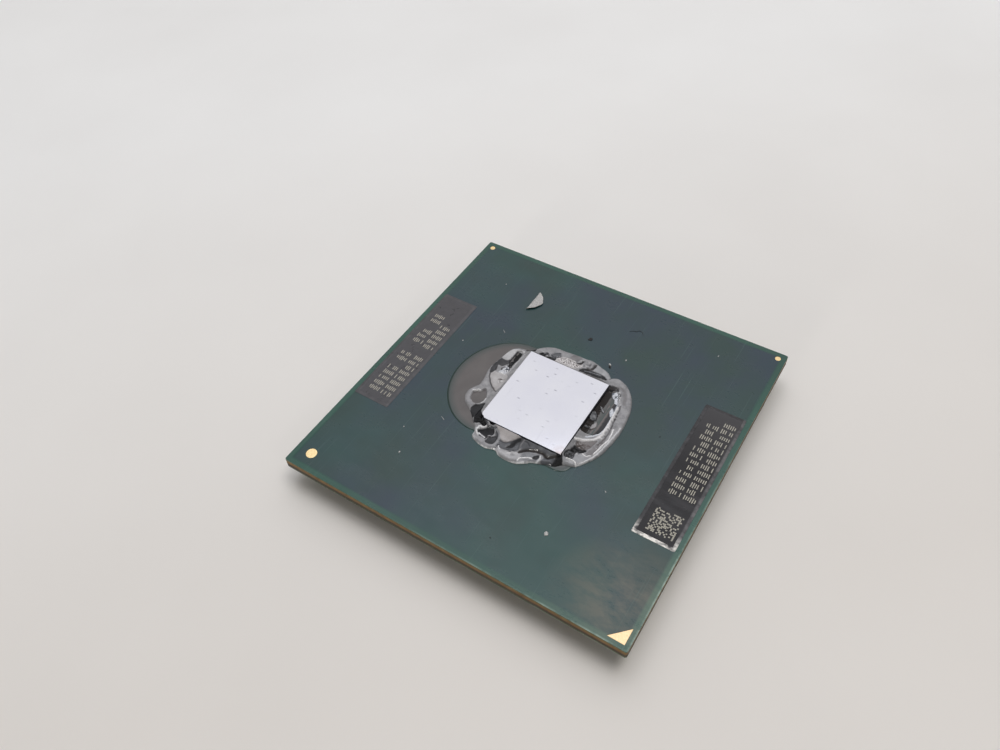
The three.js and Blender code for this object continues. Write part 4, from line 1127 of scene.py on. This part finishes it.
def gridTree(material):
    # The piece's own mesh, repeated over the pin grid but not in the bay or at the two key places.
    tree = bpy.data.node_groups.new("pinGrid_" + material.name, "GeometryNodeTree")
    for name, kind in (("Geometry", "NodeSocketGeometry"), ("Pitch", "NodeSocketFloat"),
                       ("Per side", "NodeSocketInt"), ("Bay", "NodeSocketInt")):
        tree.interface.new_socket(name, in_out="INPUT", socket_type=kind)
    tree.interface.new_socket("Geometry", in_out="OUTPUT", socket_type="NodeSocketGeometry")
    given = addNode(tree, "NodeGroupInput", {}).outputs
    gaps = addNode(tree, "ShaderNodeMath", {"operation": "SUBTRACT", 1: 1.0, 0: given["Per side"]})
    span = addNode(tree, "ShaderNodeMath", {"operation": "MULTIPLY", 0: gaps.outputs[0],
            1: given["Pitch"]})
    grid = addNode(tree, "GeometryNodeMeshGrid", {"Size X": span.outputs[0], "Size Y": span.outputs[0],
            "Vertices X": given["Per side"], "Vertices Y": given["Per side"]})
    axis = addNode(tree, "ShaderNodeSeparateXYZ", {0: addNode(tree, "GeometryNodeInputPosition",
            {}).outputs[0]})
    bayHalf = addNode(tree, "ShaderNodeMath", {"operation": "MULTIPLY",
            0: addNode(tree, "ShaderNodeMath", {"operation": "MULTIPLY", 1: 0.5,
            0: given["Bay"]}).outputs[0], 1: given["Pitch"]})
    furthest = addNode(tree, "ShaderNodeMath", {"operation": "MAXIMUM",
            0: addNode(tree, "ShaderNodeMath", {"operation": "ABSOLUTE", 0: axis.outputs[0]}).outputs[0],
            1: addNode(tree, "ShaderNodeMath", {"operation": "ABSOLUTE", 0: axis.outputs[1]}).outputs[0]})
    inBay = addNode(tree, "FunctionNodeCompare", {"data_type": "FLOAT", "operation": "LESS_THAN",
            0: furthest.outputs[0], 1: bayHalf.outputs[0]})
    start = addNode(tree, "ShaderNodeMath", {"operation": "MULTIPLY", 1: -0.5, 0: span.outputs[0]})
    limits = []
    for steps in (1.5, 0.5):
        shift = addNode(tree, "ShaderNodeMath", {"operation": "MULTIPLY", 1: steps, 0: given["Pitch"]})
        limits.append(addNode(tree, "ShaderNodeMath", {"operation": "ADD", 0: start.outputs[0],
                1: shift.outputs[0]}).outputs[0])
    lowX = addNode(tree, "FunctionNodeCompare", {"data_type": "FLOAT", "operation": "LESS_THAN",
            0: axis.outputs[0], 1: limits[0]})
    lowY = addNode(tree, "FunctionNodeCompare", {"data_type": "FLOAT", "operation": "LESS_THAN",
            0: axis.outputs[1], 1: limits[1]})
    isKey = addNode(tree, "FunctionNodeBooleanMath", {"operation": "AND", 0: lowX.outputs[0],
            1: lowY.outputs[0]})
    empty = addNode(tree, "FunctionNodeBooleanMath", {"operation": "OR", 0: inBay.outputs[0],
            1: isKey.outputs[0]})
    kept = addNode(tree, "GeometryNodeDeleteGeometry",
            {"domain": "POINT", 0: grid.outputs[0], 1: empty.outputs[0]})
    points = addNode(tree, "GeometryNodeMeshToPoints", {0: kept.outputs[0]})
    placed = addNode(tree, "GeometryNodeInstanceOnPoints",
            {"Points": points.outputs[0], "Instance": given["Geometry"]})
    real = addNode(tree, "GeometryNodeRealizeInstances", {0: placed.outputs[0]})
    dressed = addNode(tree, "GeometryNodeSetMaterial", {"Material": material, 0: real.outputs[0]})
    addNode(tree, "NodeGroupOutput", {0: dressed.outputs[0]})
    return tree


def latheMesh(name, profile, sides):
    # The profile runs from the bottom up as radius and height; a zero radius closes it.
    made = bmesh.new()
    turns = [2 * math.pi * i / sides for i in range(sides)]
    rings = []
    for radius, z in profile:
        around = [(radius * math.cos(a), radius * math.sin(a), z) for a in turns] if radius else [(0, 0, z)]
        rings.append([made.verts.new(point) for point in around])
    for low, high in zip(rings[:-1], rings[1:]):
        for i in range(sides):
            following = (i + 1) % sides
            if len(low) == 1:
                made.faces.new((low[0], high[following], high[i]))
            elif len(high) == 1:
                made.faces.new((low[i], low[following], high[0]))
            else:
                made.faces.new((low[i], low[following], high[following], high[i]))
    bmesh.ops.recalc_face_normals(made, faces=made.faces)
    for face in made.faces:
        face.smooth = True
    mesh = bpy.data.meshes.new(name)
    made.to_mesh(mesh)
    made.free()
    return mesh


def makePins(solder):
    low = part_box("pin_row_A")[0].z
    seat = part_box("solder_mask_bottom")[0].z
    gap = pins["solderGap"] * mm
    r, head = pins["diameter"] / 2 * mm, pins["headDiameter"] / 2 * mm
    headLow = seat - gap - pins["headThickness"] * mm
    headHigh = headLow + pins["headThickness"] * mm
    pinProfile = [(0, low), (pins["tipShare"] * r, low), (r, low + pins["tipTaper"] * mm), (r, headLow),
                  (head, headLow), (head, headHigh), (0, headHigh)]
    reach, rise = pins["solderReach"] * mm, pins["solderHeight"] * mm
    solderProfile = [(1.02 * r, seat - rise), (1.5 * r, seat - 0.58 * rise),
                     (reach, seat - gap), (1.02 * r, seat - 0.6 * gap)]
    inputs = {"Pitch": pins["pitch"] * mm, "Per side": pins["perSide"], "Bay": pins["bay"]}
    pinMesh = latheMesh("pinPattern", pinProfile, pins["sides"])
    collarMesh = latheMesh("collarPattern", solderProfile + solderProfile[:1], pins["sides"])
    mergeDoubles(collarMesh, 1e-8)
    for name, slot, mesh, material, replaced in (
            ("contact_pins", "gold", pinMesh, gold, pinNodes),
            ("pin_solder_joints", "solder", collarMesh, solder, [])):
        grown = growNodes(name, gridTree(material), inputs, mesh)
        grown.set_sharp_from_angle(angle=math.radians(pins["sharpAngle"]))
        settle(addPiece(name, grown, []), slot, *replaced)


# Tin-lead solder: a bright grey metal, frozen slightly grainy.
tinSolder = makeGrained("tinSolder", {"Metallic": 1.0, "Roughness": 0.35}, 0.08, 3,
                        "#a9abae", "#c9cacb", bump=(0.01, 0.4))
makePins(tinSolder)
print("pins and solder joints made")


capacitor = {"wrap": 0.23, "bevel": 0.05, "inset": 0.02}  # wrap is a terminal's share of the length


def addBox(made, low, high, bevel, materialIndex):
    corners = bmesh.ops.create_cube(made, size=1)["verts"]
    centre, size = (Vector(low) + Vector(high)) / 2, Vector(high) - Vector(low)
    for v in corners:
        v.co = Vector((v.co.x * size.x, v.co.y * size.y, v.co.z * size.z)) + centre
    edges = {e for v in corners for e in v.link_edges}
    beveled = bmesh.ops.bevel(made, geom=list(edges), offset=bevel, segments=3, profile=0.5,
            affect="EDGES")
    faces = {f for v in corners if v.is_valid for f in v.link_faces} | set(beveled["faces"])
    for face in faces:
        face.material_index = materialIndex
        face.smooth = True


def makeCapacitor(node, ceramic, tin):
    low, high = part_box(node)
    bevel, inset = capacitor["bevel"] * mm, capacitor["inset"] * mm
    wrap = capacitor["wrap"] * (high.x - low.x)
    made = bmesh.new()
    addBox(made, (low.x + inset, low.y + inset, low.z + inset),
           (high.x - inset, high.y - inset, high.z - inset), bevel * 0.6, 0)
    addBox(made, low, (low.x + wrap, high.y, high.z), bevel, 1)
    addBox(made, (high.x - wrap, low.y, low.z), high, bevel, 1)
    settle(addPiece(node + "_chip", made, [ceramic, tin]), "ceramic", node)


# Fired ceramic: matt grey-brown, fine-grained.
ceramic = makeGrained("firedCeramic", {"Roughness": 0.55}, 0.06, 3, "#7d6650", "#957c63",
                      bump=(0.006, 0.5))
for name in sorted(nodes):
    if name.startswith("capacitor"):
        makeCapacitor(name, ceramic, tinSolder)
dress("solder_bump_array", tinSolder)
print("capacitors made")


debris = {  # millimetres: middle x and y, length, width, height, turn in degrees, pale or dark
    "crumbs": [
        (9.8, 0.38, 0.42, 0.34, 0.06, 10, "dark"), (9.62, 0.52, 0.2, 0.14, 0.05, 60, "dark"),
        (-11.85, -7.05, 0.42, 0.36, 0.12, 0, "pale"), (7.42, -3.02, 0.34, 0.2, 0.08, 40, "dark"),
        (7.68, -2.9, 0.36, 0.2, 0.1, 70, "pale"), (-11.45, 8.8, 0.2, 0.14, 0.06, 0, "pale"),
        (9.0, -4.0, 0.2, 0.14, 0.05, 0, "pale"), (-5.6, -9.4, 0.22, 0.08, 0.04, 50, "pale"),
        (3.1, 11.6, 0.16, 0.1, 0.04, 0, "pale"), (-8.9, 10.2, 0.14, 0.1, 0.04, 20, "pale"),
        (14.1, -11.6, 0.16, 0.12, 0.04, 0, "pale"), (-6.2, 7.6, 0.5, 0.06, 0.03, 65, "pale"),
        (6.3, 8.6, 0.55, 0.05, 0.03, 50, "pale"), (-14.6, -3.2, 0.12, 0.1, 0.04, 0, "dark"),
        (12.4, 12.2, 0.12, 0.1, 0.04, 0, "pale"), (2.2, -10.9, 0.14, 0.1, 0.04, 0, "dark"),
    ],
    "flake": {"left": 10.2, "right": 13.1, "top": 8.35, "sag": 1.08, "thickness": 0.09, "curl": 0.12},
    "fibre": {"radius": 0.022, "points": [(12.7, -2.55), (12.95, -2.8), (13.05, -3.15), (13.3, -3.35),
                                          (13.2, -3.75), (12.85, -4.0)]},
}


def makeGrit(name, low, high):  # fallen grit and dried paste: dull, pale grey or nearly black
    return makeGrained(name, {"Roughness": 0.7}, 0.1, 4, low, high, 0.35, (0.02, 0.5))


def makeDebris():
    pale = makeGrit("driedPasteCrumb", "#8f8f90", "#dcdcda")
    dark = makeGrit("darkGrit", "#121213", "#2c2b2b")
    made = bmesh.new()
    for index, (x, y, length, width, height, turn, shade) in enumerate(debris["crumbs"]):
        grown = bmesh.ops.create_icosphere(made, subdivisions=3, radius=1)["verts"]
        a = math.radians(turn)
        for v in grown:
            v.co *= 1 + 0.35 * noise.noise(v.co * 1.7 + Vector((0, 0, 5.0 * index)))
            px, py, pz = v.co.x * length / 2, v.co.y * width / 2, max(v.co.z, -0.25) * height
            turned = (x + px * math.cos(a) - py * math.sin(a), y + px * math.sin(a) + py * math.cos(a))
            v.co = Vector((*turned, pz + 0.2 * height)) * mm + Vector((0, 0, maskTop))
        for face in {f for v in grown for f in v.link_faces}:
            face.material_index = 0 if shade == "pale" else 1
            face.smooth = True
    settle(addPiece("fallen_crumbs", made, [pale, dark]), "thermal_compound")


def makeFlake():
    flake = debris["flake"]
    columns, rows = 48, 18
    vertices, faces = [], []
    for layer in (1, 0):
        for i in range(columns + 1):
            u = i / columns * 2 - 1
            x = (flake["left"] + flake["right"]) / 2 + u * (flake["right"] - flake["left"]) / 2
            depth = flake["sag"] * (1 - abs(u) ** 2.4) * (1 + 0.12 * noise.noise(Vector((u * 3, 1.5, 0))))
            for j in range(rows + 1):
                v = j / rows
                y = flake["top"] - v * depth + 0.06 * noise.noise(Vector((u * 4, 0, 3.3))) * (1 - v)
                edge = min(1.0, 6 * min(v, 1 - v) + 0.001, 6 * (1 - abs(u)) + 0.001)
                lift = 0.012 + flake["curl"] * v ** 2 * (1 - 0.5 * u)
                rough = 0.025 * noise.noise(Vector((x * 5, y * 5, 0)))
                z = lift + layer * (flake["thickness"] * math.sqrt(edge) + rough * edge)
                vertices.append((x * mm, y * mm, maskTop + z * mm))
    step = rows + 1
    below = (columns + 1) * step
    for i in range(columns):
        for j in range(rows):
            a, b, c, d = i * step + j, (i + 1) * step + j, (i + 1) * step + j + 1, i * step + j + 1
            faces += [(a, d, c, b), (below + a, below + b, below + c, below + d)]
        faces.append((i * step, (i + 1) * step, below + (i + 1) * step, below + i * step))
        a, b = i * step + rows, (i + 1) * step + rows
        faces.append((a, below + a, below + b, b))
    for j in range(rows):
        faces.append((j, below + j, below + j + 1, j + 1))
        a, b = columns * step + j, columns * step + j + 1
        faces.append((a, b, below + b, below + a))
    piece = addMesh("paste_flake", vertices, faces, [makeGrit("paleFlake", "#9b9b9a", "#cfcecb")])
    mergeDoubles(piece.data, 1e-7)
    settle(piece, "thermal_compound")


def makeFibre():
    fibre = debris["fibre"]
    path = smoothPath(fibre["points"], 8)
    sides = 8
    vertices, faces = [], []
    for k, (x, y) in enumerate(path):
        before, after = path[max(k - 1, 0)], path[min(k + 1, len(path) - 1)]
        along = (after - before) / np.hypot(*(after - before))
        radius = fibre["radius"] * (0.35 + 0.65 * math.sin(math.pi * (k + 0.5) / len(path)))
        for i in range(sides):
            a = 2 * math.pi * i / sides
            side, lift = radius * math.cos(a), fibre["radius"] * 0.9 + radius * math.sin(a)
            vertices.append(((x - along[1] * side) * mm, (y + along[0] * side) * mm, maskTop + lift * mm))
    for k in range(len(path) - 1):
        for i in range(sides):
            ahead = (i + 1) % sides
            faces.append((k * sides + i, k * sides + ahead, (k + 1) * sides + ahead, (k + 1) * sides + i))
    faces += [tuple(range(sides))[::-1], tuple((len(path) - 1) * sides + i for i in range(sides))]
    piece = addMesh("dust_fibre", vertices, faces, [makeGrit("dustFibre", "#1d1a18", "#332e2a")])
    settle(piece, "thermal_compound")


makeDebris()
makeFlake()
makeFibre()
print("crumbs, flake and fibre made")
